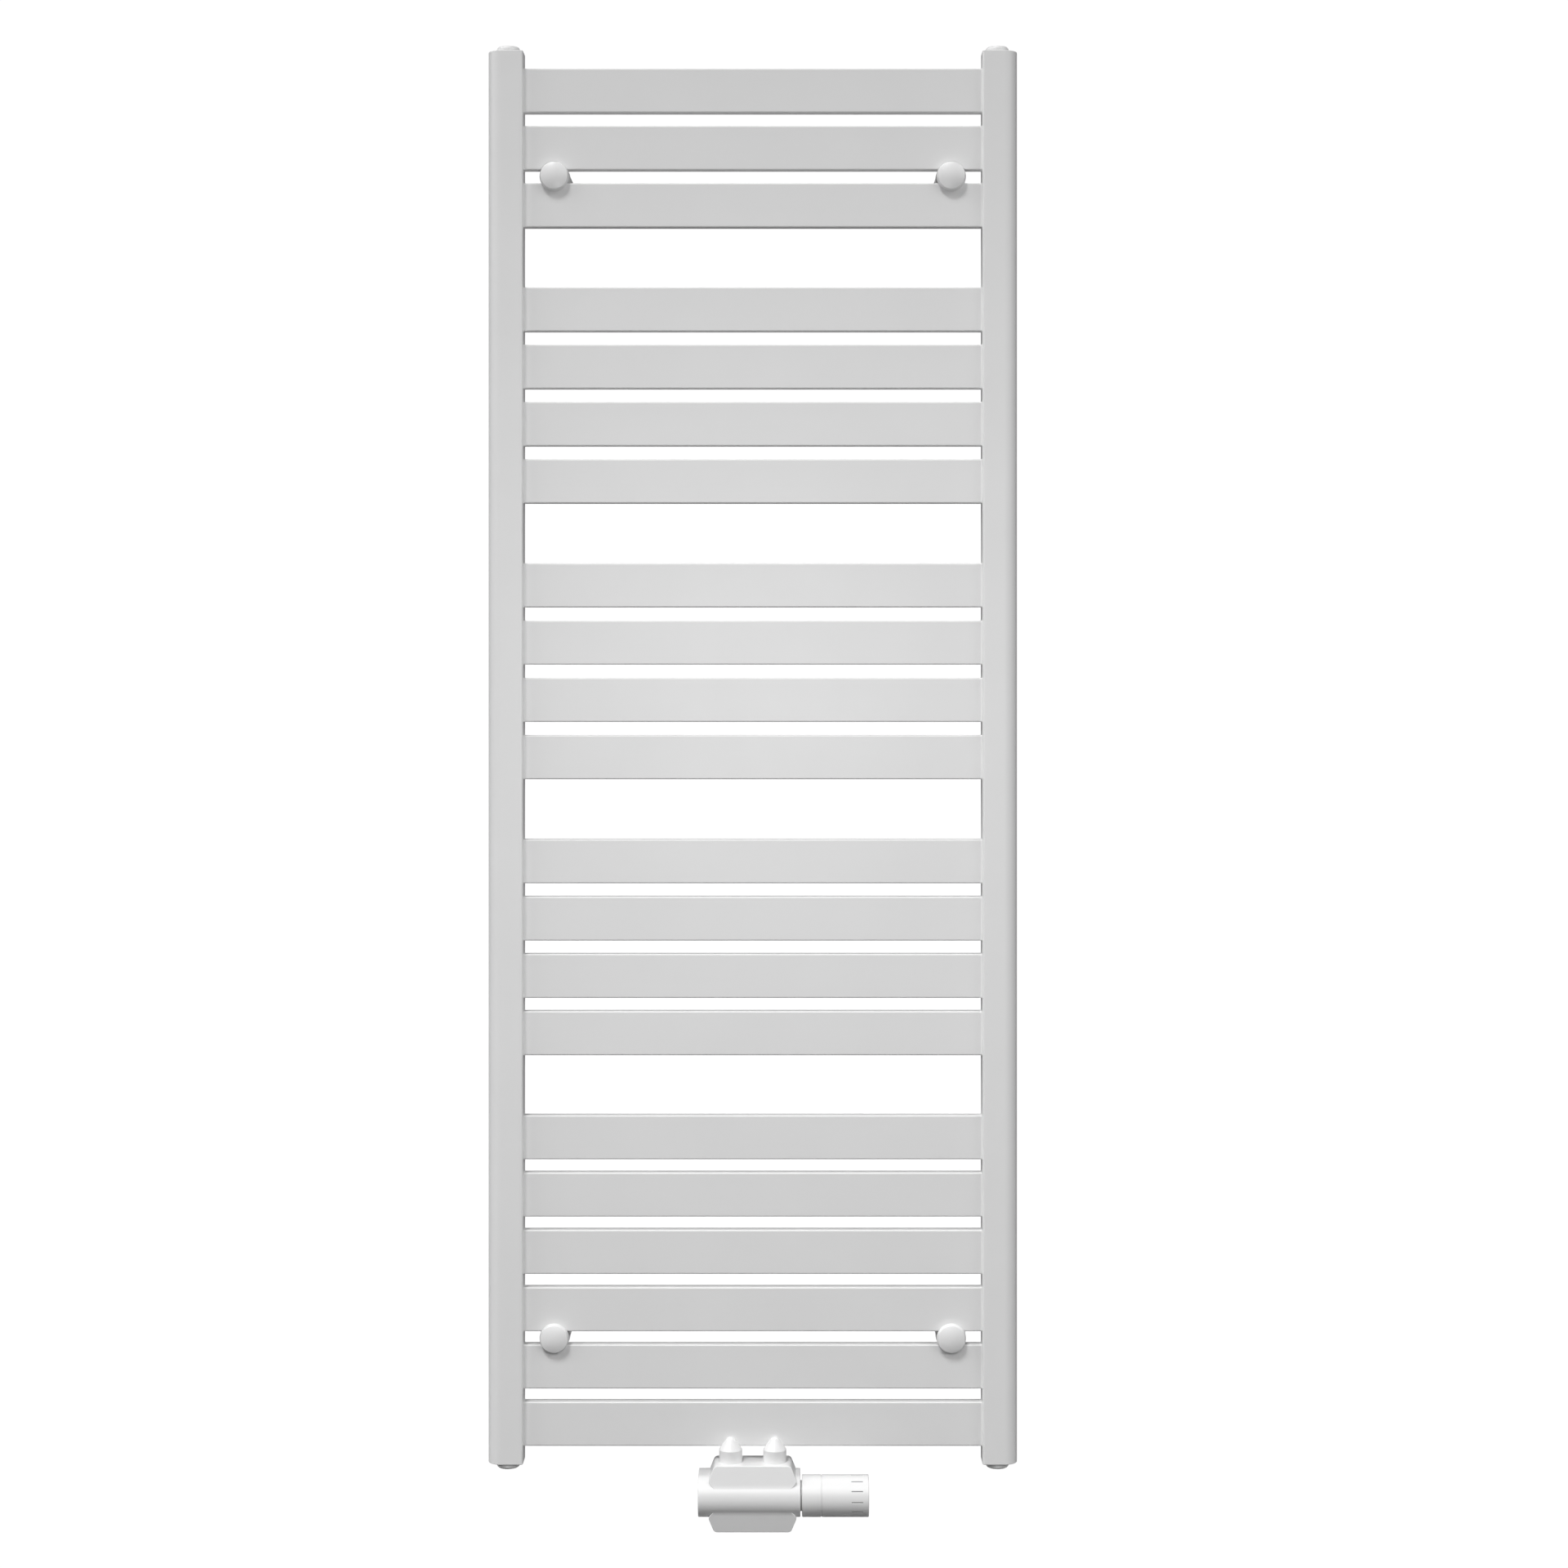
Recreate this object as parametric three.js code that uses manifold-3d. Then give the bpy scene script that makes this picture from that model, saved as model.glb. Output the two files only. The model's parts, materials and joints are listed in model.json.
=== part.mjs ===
// A wall-hung ladder towel radiator with a mid-connection valve block and a thermostat head.
// Millimetres, +Z up, +Y towards the wall. The origin lies on the wall, level with the radiator's
// mid-height and midway between its two collectors, so the radiator's front faces -Y.
import * as THREE from "three";
import { mergeVertices } from "three/addons/utils/BufferGeometryUtils.js";
import Module from "manifold-3d";

// ---- Driving dimensions ------------------------------------------------------------------------

const width = 600; // over both collectors
const height = 1600; // collector length
const wallDistance = 55; // back of the collectors to the wall

const fit = 0.3; // gap between pieces that touch or run in each other
const clear = 0.5; // gap around a piece that must pass freely
const past = 1; // how far a cutting shape runs on past the face it cuts

// Facets around a round piece: large ones, small ones, and small ones that are out of sight.
const large = 32;
const small = 24;
const hidden = 16;

const collectorWidth = 40;
const collectorDepth = 30;
const collectorWall = 1.5;
const collectorInnerRadius = 2.5; // the two edges that face the rails
const endBlock = 10; // threaded block that closes each end

const railHeight = 50;
const railThickness = 14;
const railWall = 1.5;
const railEdgeRadius = 1.5;
const railGap = 15; // between rails of one group
const railOverhang = 19; // collector end to the outermost rail
const railInsertion = 3; // length of rail inside the collector's wall and hollow
const railGroups = [6, 4, 4, 4, 3]; // rails in each group, from the bottom up
const dividerThickness = 2; // web in the lowest rail, between flow and return
const passageHalfWidth = 5; // port from a boss into the lowest rail
const passageWall = 0.4; // port to the inside of the rail's front wall

const plugFlangeRadius = 13.2;
const plugFlangeHeight = 6;
const plugThreadRadius = 10.2;
const plugOffset = 17.5; // plug axis to the collector's flat inner wall
const plugEdge = 4; // rounding around the flange
const plugKey = 12; // hexagon socket, across flats
const plugKeyDepth = 4.5;
const plugThreadShort = 1; // the thread stops this much before the end block does

const bracketInset = 75; // bracket axis to the radiator's side
const bracketGapFromEnd = 2; // rails between the bracket and the end of the radiator
const capRimRadius = 16.8;
const capFaceRadius = 15.2;
const capSide = 7;
const capDome = 2.5;
const capEdge = 0.8; // bevel between the face and the side
const capEdgeDrop = 0.5;
const capWall = 1.6;
const clampRadius = 13;
const clampThickness = 2.5;
const clampHeadRadius = 6.5;
const clampHeadHeight = 3;
const clampKey = 6;
const screwRadius = 4;
const screwLength = 29;
const screwTipRoom = 2;
const saddleRadius = 17;
const saddleThickness = 5;
const saddleTongueRadius = 6.8; // centres the saddle in the gap between two rails
const spigotRadius = 12;
const spigotFromWall = 22; // end of the spigot to the wall
const footRadius = 16.5;
const footLength = 40;
const footBase = 4;
const wallScrewRadius = 3;
const wallScrewHeadRadius = 6;
const footGrubRadius = 2.5;
const footGrubInset = 8; // grub screw hole to the foot's mouth

const connectionCentres = 50;
const bossRadius = 13;
const bossForward = 3; // boss axis in front of the rail's front face
const bossShoulderDrop = 2.3; // foot of the cone below the rail's underside
const bossConeAngle = THREE.MathUtils.degToRad(35.2);
const bossTipRadius = 7;
const bossVisible = 13.7; // cylinder between the cone and the valve cover
const bossIntoCover = 5.5;
const bossBoreDepth = 12;
const bossCeiling = 2; // cone's foot to the end of the boss's waterway
const waterwayRadius = 7;

// The cover's heights and depths count from the barrel's axis.
const bossAhead = 7.2; // bosses' front in front of the barrel's axis
const barrelForward = bossRadius - bossAhead; // barrel's axis in front of the bosses'
const barrelRadius = 23;
const coverHalfHeight = 37.2;
const coverShoulder = 17.7; // height over which the sides slope out
const coverCorner = 5;
const coverWaist = 11; // ends of the housings' side chamfers, inside the barrel
const coverRidge = 21.6; // line in which the two slanted front faces would meet
const coverTilt = THREE.MathUtils.degToRad(11.5); // front faces to the vertical
const coverBehind = 9.2; // cover's back edge behind the bosses
const coverBack = barrelForward + bossRadius + coverBehind;
const coverWall = 2;
const backPlateThickness = 2;
const backPlateInset = 1;

// The cover's half widths, each from the nearer connection axis outwards.
const coverNarrow = bossRadius + 5.1;
const coverWide = bossRadius + 12.2;
const coverNeck = bossRadius + 3.7;
const barrelLeft = 36.4;
const barrelRight = 28.9;

const nippleThread = 2.8; // thread and neck radius less than the boss's
const nippleCollar = 0.4; // collar radius less than the boss's
const nippleCollarHeight = 4.3;
const nippleNeck = 3.7;
const nippleFlange = 0.1; // flange radius less than the boss's
const nippleFlangeHeight = 2.7;
const nippleThreadShort = 1; // the thread stops this much before the boss's bore does
const nutWall = 1.2; // beside the thread, in the middle of a flat
const nutLip = 3;
const nutSkirt = 4.8; // threaded length around the valve body's port

const portOversize = 0.2; // port radius more than the boss's
const bodyDrop = 24; // foot of the valve body below the barrel's axis
const bridgeRadius = 10;
const outletDrop = 14.5; // outlet axes below the barrel's axis
const outletLength = 40;
const shutoffHousingRadius = 9;
const shutoffHousingLength = 14;
const shutoffRadius = 6;
const shutoffPassageRadius = 3.6;
const shutoffRecess = 1; // plug's face inside its housing
const shutoffInnerReach = 2; // plug's inner end past its own radius behind the axis
const shutoffSlotWidth = 1.5;
const shutoffSlotDepth = 1.5;

// The valve's insert and the head lie on the barrel's axis; starts and ends count from the
// right-hand connection axis.
const chamberStart = -9;
const headThreadRadius = 15;
const headThreadEnd = 25;
const insertRadius = 8.7;
const insertStart = 8;
const insertHexRadius = 11;
const insertHexLength = 3.2;
const insertNeckRadius = 4;
const insertNeckEnd = 31;
const pinRadius = 1.8;
const pinStart = -3;
const pinEnd = 33;
const discRadius = 6;
const discThickness = 3;

const headRadius = 23.1;
const headGrooveDepth = 0.6;
const headGrooveWidth = 1.4;
const headNeckRadius = 16.75;
const headNeckStart = 19;
const headStart = 30.8;
const collarEnd = 52;
const headEnd = 106;
const headEdge = 1;
const headWall = 2.8;
const collarReach = 14; // collar's inner sleeve inside the knob
const collarSleeveRadius = 19.6;
const collarBoreRadius = 17;
const collarWeb = 4;
const sensorRadius = 15.5;
const sensorStart = 62;
const sensorEnd = 92;
const sensorStemRadius = 5.6;
const sensorStemEnd = 100.7;
const sensorRodRadius = 2.5;
const knobHubRadius = 9;
const knobHubReach = 8;
const tickCount = 12;
const tickPhase = 2.3; // degrees that the ticks stand below a start level with the axis
const tickStart = 86.2;
const tickLength = 13;
const tickWidth = 0.9;
const tickDepth = 0.4;

const bleedScrewRadius = 3;
const bleedScrewLength = 12;
const bleedSocketRadius = 6;
const bleedSocketDepth = 3;
const bleedRecess = 0.5; // screw's head inside the plug
const bleedSlotWidth = 1.2;
const bleedSlotDepth = 1.5;

// ---- Solids ------------------------------------------------------------------------------------

const wasm = await Module();
wasm.setup();

// A closed three.js geometry as a solid that can be joined and cut.
function solid(geometry) {
  const bare = new THREE.BufferGeometry();
  bare.setAttribute("position", geometry.getAttribute("position"));
  bare.setIndex(geometry.index);
  const merged = mergeVertices(bare, 1e-4);
  const corners = merged.index.array;
  const triangles = [];
  for (let i = 0; i < corners.length; i += 3) {
    const [a, b, c] = corners.subarray(i, i + 3);
    if (a !== b && b !== c && c !== a) triangles.push(a, b, c);
  }
  const vertProperties = merged.attributes.position.array;
  const triVerts = new Uint32Array(triangles);
  return new wasm.Manifold(new wasm.Mesh({ numProp: 3, vertProperties, triVerts }));
}

// A solid as a three.js geometry with a normal for each face.
function geometryOf(manifold) {
  const { vertProperties, triVerts } = manifold.getMesh();
  const geometry = new THREE.BufferGeometry();
  geometry.setAttribute("position", new THREE.BufferAttribute(new Float32Array(vertProperties), 3));
  geometry.setIndex(new THREE.BufferAttribute(new Uint32Array(triVerts), 1));
  const faceted = geometry.toNonIndexed();
  faceted.computeVertexNormals();
  return faceted;
}

const join = (first, ...others) => others.reduce((whole, piece) => whole.add(piece), first);
const cut = (first, ...tools) => tools.reduce((rest, tool) => rest.subtract(tool), first);

// Turns a geometry made along three.js's own axis so that it lies along X, Y or Z.
const latheTurn = {
  X: new THREE.Matrix4().makeRotationZ(-Math.PI / 2),
  Y: new THREE.Matrix4(),
  Z: new THREE.Matrix4().makeRotationX(Math.PI / 2),
};
const unitX = new THREE.Vector3(1, 0, 0);
const unitY = new THREE.Vector3(0, 1, 0);
const unitZ = new THREE.Vector3(0, 0, 1);
const prismTurn = {
  X: new THREE.Matrix4().makeBasis(unitY, unitZ, unitX),
  Y: new THREE.Matrix4().makeBasis(unitZ, unitX, unitY),
  Z: new THREE.Matrix4(),
};

// A profile of [radius, distance along the axis] points, anticlockwise, turned about an axis.
function turned(axis, profile, segments) {
  const points = profile.map(([radius, along]) => new THREE.Vector2(radius, along));
  return solid(new THREE.LatheGeometry(points, segments).applyMatrix4(latheTurn[axis]));
}

// A turned ring: the profile is closed on itself.
const turnedRing = (axis, profile, segments) => turned(axis, [...profile, profile[0]], segments);

// A plain round bar along an axis, between two distances.
function bar(axis, radius, from, to, segments = hidden) {
  return turned(axis, [[0, from], [radius, from], [radius, to], [0, to]], segments);
}

// An outline carried along an axis. Outline pairs run in cyclic order after the axis:
// (Y, Z) along X, (Z, X) along Y and (X, Y) along Z.
function prism(axis, outline, from, to) {
  const shape = new THREE.Shape(outline.map(([u, v]) => new THREE.Vector2(u, v)));
  const geometry = new THREE.ExtrudeGeometry(shape, { depth: to - from, bevelEnabled: false });
  return solid(geometry.translate(0, 0, from).applyMatrix4(prismTurn[axis]));
}

// A box between two corners.
function box([x0, y0, z0], [x1, y1, z1]) {
  const geometry = new THREE.BoxGeometry(x1 - x0, y1 - y0, z1 - z0);
  return solid(geometry.translate((x0 + x1) / 2, (y0 + y1) / 2, (z0 + z1) / 2));
}

// A closed outline through corners [u, v, radius, steps], each corner rounded to its radius.
function rounded(corners) {
  const points = [];
  corners.forEach(([u, v, radius = 0, steps = 3], i) => {
    const here = new THREE.Vector2(u, v);
    if (radius === 0) {
      points.push([u, v]);
      return;
    }
    const [before, after] = [corners.at(i - 1), corners[(i + 1) % corners.length]];
    const back = new THREE.Vector2(before[0], before[1]).sub(here).normalize();
    const on = new THREE.Vector2(after[0], after[1]).sub(here).normalize();
    const half = Math.acos(THREE.MathUtils.clamp(back.dot(on), -1, 1)) / 2;
    const centre = back.clone().add(on).normalize().multiplyScalar(radius / Math.sin(half)).add(here);
    const start = back.clone().multiplyScalar(radius / Math.tan(half)).add(here).sub(centre);
    const end = on.clone().multiplyScalar(radius / Math.tan(half)).add(here).sub(centre);
    const sweep = Math.atan2(start.cross(end), start.dot(end));
    for (let step = 0; step <= steps; step += 1) {
      const spoke = start.clone().rotateAround(new THREE.Vector2(), (sweep * step) / steps).add(centre);
      points.push([spoke.x, spoke.y]);
    }
  });
  return points;
}

// A rectangle about the origin with rounded corners, anticlockwise.
function roundedRectangle(sizeU, sizeV, radius, steps) {
  const [u, v] = [sizeU / 2, sizeV / 2];
  return rounded([[u, -v], [u, v], [-u, v], [-u, -v]].map((corner) => [...corner, radius, steps]));
}

// A hexagon with two flats facing the first outline direction.
function hexagon(acrossFlats) {
  const radius = acrossFlats / Math.sqrt(3);
  return Array.from({ length: 6 }, (_, i) => {
    const angle = ((i + 0.5) * Math.PI) / 3;
    return [radius * Math.cos(angle), radius * Math.sin(angle)];
  });
}

// ---- Materials and the scene graph -------------------------------------------------------------

const finishes = {
  paint: { color: 0xf1f0ea, roughness: 0.42, metalness: 0 },
  plastic: { color: 0xf3f2ee, roughness: 0.36, metalness: 0 },
  nickel: { color: 0xb9b6ae, roughness: 0.3, metalness: 1 },
  steel: { color: 0x9a9c9f, roughness: 0.38, metalness: 1 },
  darkPlastic: { color: 0x2b2d30, roughness: 0.55, metalness: 0 },
};

function mesh(name, manifold, finish) {
  const piece = new THREE.Mesh(geometryOf(manifold), new THREE.MeshStandardMaterial(finishes[finish]));
  piece.name = name;
  return piece;
}

const object = new THREE.Group();
const radiator = new THREE.Group(); // its Y = 0 is the mid-depth of collectors and rails
radiator.position.y = -(wallDistance + collectorDepth / 2);
object.add(radiator);

// ---- Rails -------------------------------------------------------------------------------------

const innerWall = width / 2 - collectorWidth; // X of the collectors' flat inner walls
const railCount = railGroups.reduce((sum, count) => sum + count, 0);
const innerGaps = railCount - railGroups.length;
const groupGap =
  (height - 2 * railOverhang - railCount * railHeight - innerGaps * railGap) / (railGroups.length - 1);

// Centre heights of the rails, from the bottom up.
const railCentres = [];
let nextRail = -height / 2 + railOverhang + railHeight / 2;
for (const count of railGroups) {
  for (let i = 0; i < count; i += 1) {
    railCentres.push(nextRail);
    nextRail += railHeight + railGap;
  }
  nextRail += groupGap - railGap;
}

const railFront = -railThickness / 2;
const railBack = railThickness / 2;
const railEnd = innerWall + railInsertion;

function makeRail() {
  const outside = roundedRectangle(railThickness, railHeight, railEdgeRadius, 3);
  const inside = roundedRectangle(railThickness - 2 * railWall, railHeight - 2 * railWall, 0);
  return cut(prism("X", outside, -railEnd, railEnd), prism("X", inside, -railEnd - past, railEnd + past));
}

// Where the connection bosses meet the lowest rail.
const bossX = connectionCentres / 2;
const bossY = railFront - bossForward;
const passageFront = railFront + railWall + passageWall;
const passageBack = bossY + waterwayRadius;

// The lowest rail has a web between its two halves, and a port over each boss.
function makeLowestRail() {
  const web = box(
    [-dividerThickness / 2, railFront + railWall / 2, (railWall - railHeight) / 2],
    [dividerThickness / 2, railBack - railWall / 2, (railHeight - railWall) / 2],
  );
  const ports = [-bossX, bossX].map((x) =>
    box(
      [x - passageHalfWidth, passageFront, -railHeight / 2 - past],
      [x + passageHalfWidth, passageBack, -railHeight / 2 + railWall + past],
    ),
  );
  return cut(join(makeRail(), web), ...ports);
}

railCentres.forEach((z, i) => {
  const number = String(railCount - i).padStart(2, "0"); // rail 01 is the top one
  const rail = mesh(`rail_${number}`, i === 0 ? makeLowestRail() : makeRail(), "paint");
  rail.position.z = z;
  radiator.add(rail);
});

// ---- Collectors --------------------------------------------------------------------------------

// The D section of the right-hand collector: flat towards the rails, half round outside.
function collectorSection(inset) {
  const [inner, outer] = [innerWall + inset, width / 2 - inset];
  const half = collectorDepth / 2 - inset;
  const edge = Math.max(collectorInnerRadius - inset, 0);
  return rounded([
    [outer, -half, half, 8],
    [outer, half, half, 8],
    [inner, half, edge, 2],
    [inner, -half, edge, 2],
  ]);
}

const plugX = innerWall + plugOffset;

function makeCollector() {
  const hollow = prism("Z", collectorSection(collectorWall), -height / 2 + endBlock, height / 2 - endBlock);
  const slot = roundedRectangle(railThickness + 2 * fit, railHeight + 2 * fit, 0);
  const slots = railCentres.map((z) =>
    prism("X", slot, innerWall - past, innerWall + collectorWall + past).translate([0, 0, z]),
  );
  const thread = bar("Z", plugThreadRadius + fit, -height / 2 - past, height / 2 + past);
  return cut(
    prism("Z", collectorSection(0), -height / 2, height / 2),
    hollow,
    thread.translate([plugX, 0, 0]),
    ...slots,
  );
}

for (const [side, turn] of [["right", 0], ["left", Math.PI]]) {
  const collector = mesh(`collector_${side}`, makeCollector(), "paint");
  collector.rotation.z = turn;
  radiator.add(collector);
}

// ---- End plugs and air vent --------------------------------------------------------------------

const plugTop = fit + plugFlangeHeight;

// A plug with its thread pointing down, its flange seated a fit's gap above Z = 0.
function makePlug() {
  const threadEnd = plugThreadShort - endBlock;
  const edge = [0, 1, 2, 3].map((step) => {
    const angle = (step * Math.PI) / 6;
    const inward = plugEdge * (1 - Math.cos(angle));
    return [plugFlangeRadius - inward, plugTop - plugEdge * (1 - Math.sin(angle))];
  });
  return turned("Z", [
    [0, threadEnd],
    [plugThreadRadius, threadEnd],
    [plugThreadRadius, fit],
    [plugFlangeRadius, fit],
    ...edge,
    [0, plugTop],
  ], small);
}

function makeBlindPlug() {
  return cut(makePlug(), prism("Z", hexagon(plugKey), plugTop - plugKeyDepth, plugTop + past));
}

// The air vent has the same outline, with a bore for the bleed screw.
function makeVentBody() {
  const bore = bar("Z", bleedScrewRadius + fit, -endBlock - past, plugTop + past);
  const socket = bar("Z", bleedSocketRadius, plugTop - bleedSocketDepth, plugTop + past);
  return cut(makePlug(), bore, socket);
}

function makeBleedScrew() {
  const top = plugTop - bleedRecess;
  const slot = box(
    [-bleedScrewRadius, -bleedSlotWidth / 2, top - bleedSlotDepth],
    [bleedScrewRadius, bleedSlotWidth / 2, top + past],
  );
  return cut(bar("Z", bleedScrewRadius, top - bleedScrewLength, top), slot);
}

const ends = [["top", 1], ["bottom", -1]];
const sides = [["left", -1], ["right", 1]];

for (const [end, up] of ends) {
  for (const [side, across] of sides) {
    const seat = new THREE.Group();
    seat.position.set(across * plugX, 0, (up * height) / 2);
    seat.rotation.x = up > 0 ? 0 : Math.PI;
    radiator.add(seat);
    if (end === "top" && side === "right") {
      seat.add(mesh("air_vent_body", makeVentBody(), "paint"));
      seat.add(mesh("bleed_screw", makeBleedScrew(), "nickel"));
    } else {
      seat.add(mesh(`plug_${end}_${side}`, makeBlindPlug(), "paint"));
    }
  }
}

// ---- Wall brackets -----------------------------------------------------------------------------
// Each is turned about Y, with Y = 0 at the rails' mid-depth, and clamps two neighbouring rails.

const wallY = wallDistance + collectorDepth / 2;
const rimY = railFront - fit;
const capFrontY = rimY - capSide - capDome;

// Points of a shallow dome, from its middle outwards.
function dome(radius, rise, frontY, steps) {
  return Array.from({ length: steps + 1 }, (_, i) => {
    const share = i / steps;
    return [radius * share, frontY + rise * share * share];
  });
}

function makeCap() {
  const inside = dome(capFaceRadius - capWall, capDome, capFrontY + capWall, 1).reverse();
  return turned("Y", [
    ...dome(capFaceRadius - capEdge, capDome - capEdgeDrop, capFrontY, 3),
    [capFaceRadius, capFrontY + capDome],
    [capRimRadius, rimY],
    [capRimRadius - capWall, rimY],
    ...inside,
  ], small);
}

function makeClampScrew() {
  const face = rimY - clampThickness;
  const head = face - clampHeadHeight;
  const screw = turned("Y", [
    [0, head],
    [clampHeadRadius, head],
    [clampHeadRadius, face],
    [clampRadius, face],
    [clampRadius, rimY],
    [screwRadius, rimY],
    [screwRadius, rimY + screwLength],
    [0, rimY + screwLength],
  ], hidden);
  return cut(screw, prism("Y", hexagon(clampKey), head - past, head + clampHeadHeight));
}

function makeSaddle() {
  const seat = railBack + fit;
  const back = seat + saddleThickness;
  const bore = screwRadius + fit;
  const boreEnd = rimY + screwLength + screwTipRoom;
  return turned("Y", [
    [0, boreEnd],
    [bore, boreEnd],
    [bore, 0],
    [saddleTongueRadius, 0],
    [saddleTongueRadius, seat],
    [saddleRadius, seat],
    [saddleRadius, back],
    [spigotRadius, back],
    [spigotRadius, wallY - spigotFromWall],
    [0, wallY - spigotFromWall],
  ], small);
}

function makeFoot() {
  const bore = spigotRadius + fit;
  const mouth = wallY - footLength;
  const floor = wallY - footBase;
  const countersink = wallScrewHeadRadius - wallScrewRadius;
  const foot = turnedRing("Y", [
    [bore, mouth],
    [footRadius, mouth],
    [footRadius, wallY],
    [wallScrewRadius, wallY],
    [wallScrewRadius, floor + countersink],
    [wallScrewHeadRadius, floor],
    [bore, floor],
  ], small);
  const grubScrewHole = bar("Z", footGrubRadius, -footRadius - past, 0);
  return cut(foot, grubScrewHole.translate([0, mouth + footGrubInset, 0]));
}

// Height of the gap that holds a bracket, counted in from the top or the bottom end.
function bracketHeight(end) {
  const inner = end === "top" ? railCount - bracketGapFromEnd : bracketGapFromEnd;
  return (railCentres[inner - 1] + railCentres[inner]) / 2;
}

for (const [end] of ends) {
  for (const [side, across] of sides) {
    const bracket = new THREE.Group();
    bracket.position.set(across * (width / 2 - bracketInset), 0, bracketHeight(end));
    bracket.add(mesh(`bracket_cap_${end}_${side}`, makeCap(), "plastic"));
    bracket.add(mesh(`clamp_screw_${end}_${side}`, makeClampScrew(), "steel"));
    bracket.add(mesh(`clamp_saddle_${end}_${side}`, makeSaddle(), "paint"));
    bracket.add(mesh(`wall_foot_${end}_${side}`, makeFoot(), "plastic"));
    radiator.add(bracket);
  }
}

// ---- Connection bosses -------------------------------------------------------------------------
// Local Z = 0 is the underside of the lowest rail, local X = Y = 0 the boss's own axis.

const lowestUnderside = railCentres[0] - railHeight / 2;
const shoulder = -bossShoulderDrop;
const coverTop = shoulder - bossVisible;
const bossFoot = coverTop - bossIntoCover;
const boreTop = bossFoot + bossBoreDepth;
const nippleThreadRadius = bossRadius - nippleThread;

function makeBoss() {
  const apex = shoulder + bossRadius / Math.tan(bossConeAngle);
  const tipCentre = apex - bossTipRadius / Math.sin(bossConeAngle);
  const tipSteps = 3;
  const tip = Array.from({ length: tipSteps + 1 }, (_, i) => {
    const angle = bossConeAngle + ((Math.PI / 2 - bossConeAngle) * i) / tipSteps;
    const radius = i === tipSteps ? 0 : bossTipRadius * Math.cos(angle);
    return [radius, tipCentre + bossTipRadius * Math.sin(angle)];
  });
  const ceiling = shoulder - bossCeiling;
  const body = turned("Z", [
    [0, ceiling],
    [waterwayRadius, ceiling],
    [waterwayRadius, boreTop],
    [nippleThreadRadius + fit, boreTop],
    [nippleThreadRadius + fit, bossFoot],
    [bossRadius, bossFoot],
    [bossRadius, shoulder],
    ...tip,
  ], small);
  const beyond = bossRadius + past;
  const railNotch = box([-beyond, bossForward - fit, -fit], [beyond, beyond, apex]);
  const waterway = box(
    [-passageHalfWidth, passageFront - bossY, ceiling - past],
    [passageHalfWidth, passageBack - bossY, past],
  );
  return cut(body, railNotch, waterway);
}

// ---- Nipples and union nuts --------------------------------------------------------------------

const nippleNeckTop = bossFoot - fit - nippleCollarHeight;
const nippleFlangeTop = nippleNeckTop - nippleNeck;
const nippleFoot = nippleFlangeTop - nippleFlangeHeight;
const portTop = nippleFoot - fit;
const nutTop = nippleFlangeTop + fit + nutLip;
const portRadius = bossRadius + portOversize;

function makeNipple() {
  const flangeRadius = bossRadius - nippleFlange;
  const collarRadius = bossRadius - nippleCollar;
  return turnedRing("Z", [
    [waterwayRadius, nippleFoot],
    [flangeRadius, nippleFoot],
    [flangeRadius, nippleFlangeTop],
    [nippleThreadRadius, nippleFlangeTop],
    [nippleThreadRadius, nippleNeckTop],
    [collarRadius, nippleNeckTop],
    [collarRadius, bossFoot - fit],
    [nippleThreadRadius, bossFoot - fit],
    [nippleThreadRadius, boreTop - nippleThreadShort],
    [waterwayRadius, boreTop - nippleThreadShort],
  ], hidden);
}

function makeUnionNut() {
  const skirt = portRadius + fit;
  return cut(
    prism("Z", hexagon(2 * (skirt + nutWall)), portTop - nutSkirt, nutTop),
    bar("Z", skirt, portTop - nutSkirt - past, nippleFlangeTop + fit),
    bar("Z", nippleThreadRadius + clear, nippleFlangeTop, nutTop + past),
  );
}

const valve = new THREE.Group(); // its origin is the middle of the barrel's axis
const barrelDrop = coverTop - coverHalfHeight;
valve.position.set(0, bossY - barrelForward, lowestUnderside + barrelDrop);
radiator.add(valve);

for (const [side, across] of sides) {
  const connection = new THREE.Group();
  connection.position.set(across * bossX, barrelForward, -barrelDrop);
  connection.add(mesh(`connection_boss_${side}`, makeBoss(), "paint"));
  connection.add(mesh(`nipple_${side}`, makeNipple(), "nickel"));
  connection.add(mesh(`union_nut_${side}`, makeUnionNut(), "nickel"));
  valve.add(connection);
}

// ---- Valve body --------------------------------------------------------------------------------
// Local to the valve group: X along the barrel, Z = 0 on the barrel's axis.

const bodyPortTop = portTop - barrelDrop;

function makeValveBody() {
  const metal = [
    bar("X", bridgeRadius, -bossX, bossX),
    bar("X", headThreadRadius, bossX, bossX + headThreadEnd),
  ];
  const water = [
    bar("X", insertRadius + fit, bossX + chamberStart, bossX + headThreadEnd + past),
  ];
  for (const [, across] of sides) {
    const place = [across * bossX, barrelForward, 0];
    const outletPlace = [across * bossX, barrelForward, -outletDrop];
    metal.push(bar("Z", portRadius, -bodyDrop, bodyPortTop).translate(place));
    metal.push(bar("Y", portRadius, 0, outletLength).translate(outletPlace));
    metal.push(bar("Y", shutoffHousingRadius, -shutoffHousingLength, 0).translate(outletPlace));
    const boreEnd = shutoffRadius + shutoffInnerReach + past;
    water.push(bar("Z", waterwayRadius, past - outletDrop, bodyPortTop + past).translate(place));
    water.push(bar("Y", waterwayRadius, shutoffRadius, outletLength + past).translate(outletPlace));
    water.push(
      bar("Y", shutoffRadius + fit, -shutoffHousingLength - past, boreEnd).translate(outletPlace),
    );
  }
  return cut(join(...metal), ...water);
}

valve.add(mesh("valve_body", makeValveBody(), "nickel"));

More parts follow.
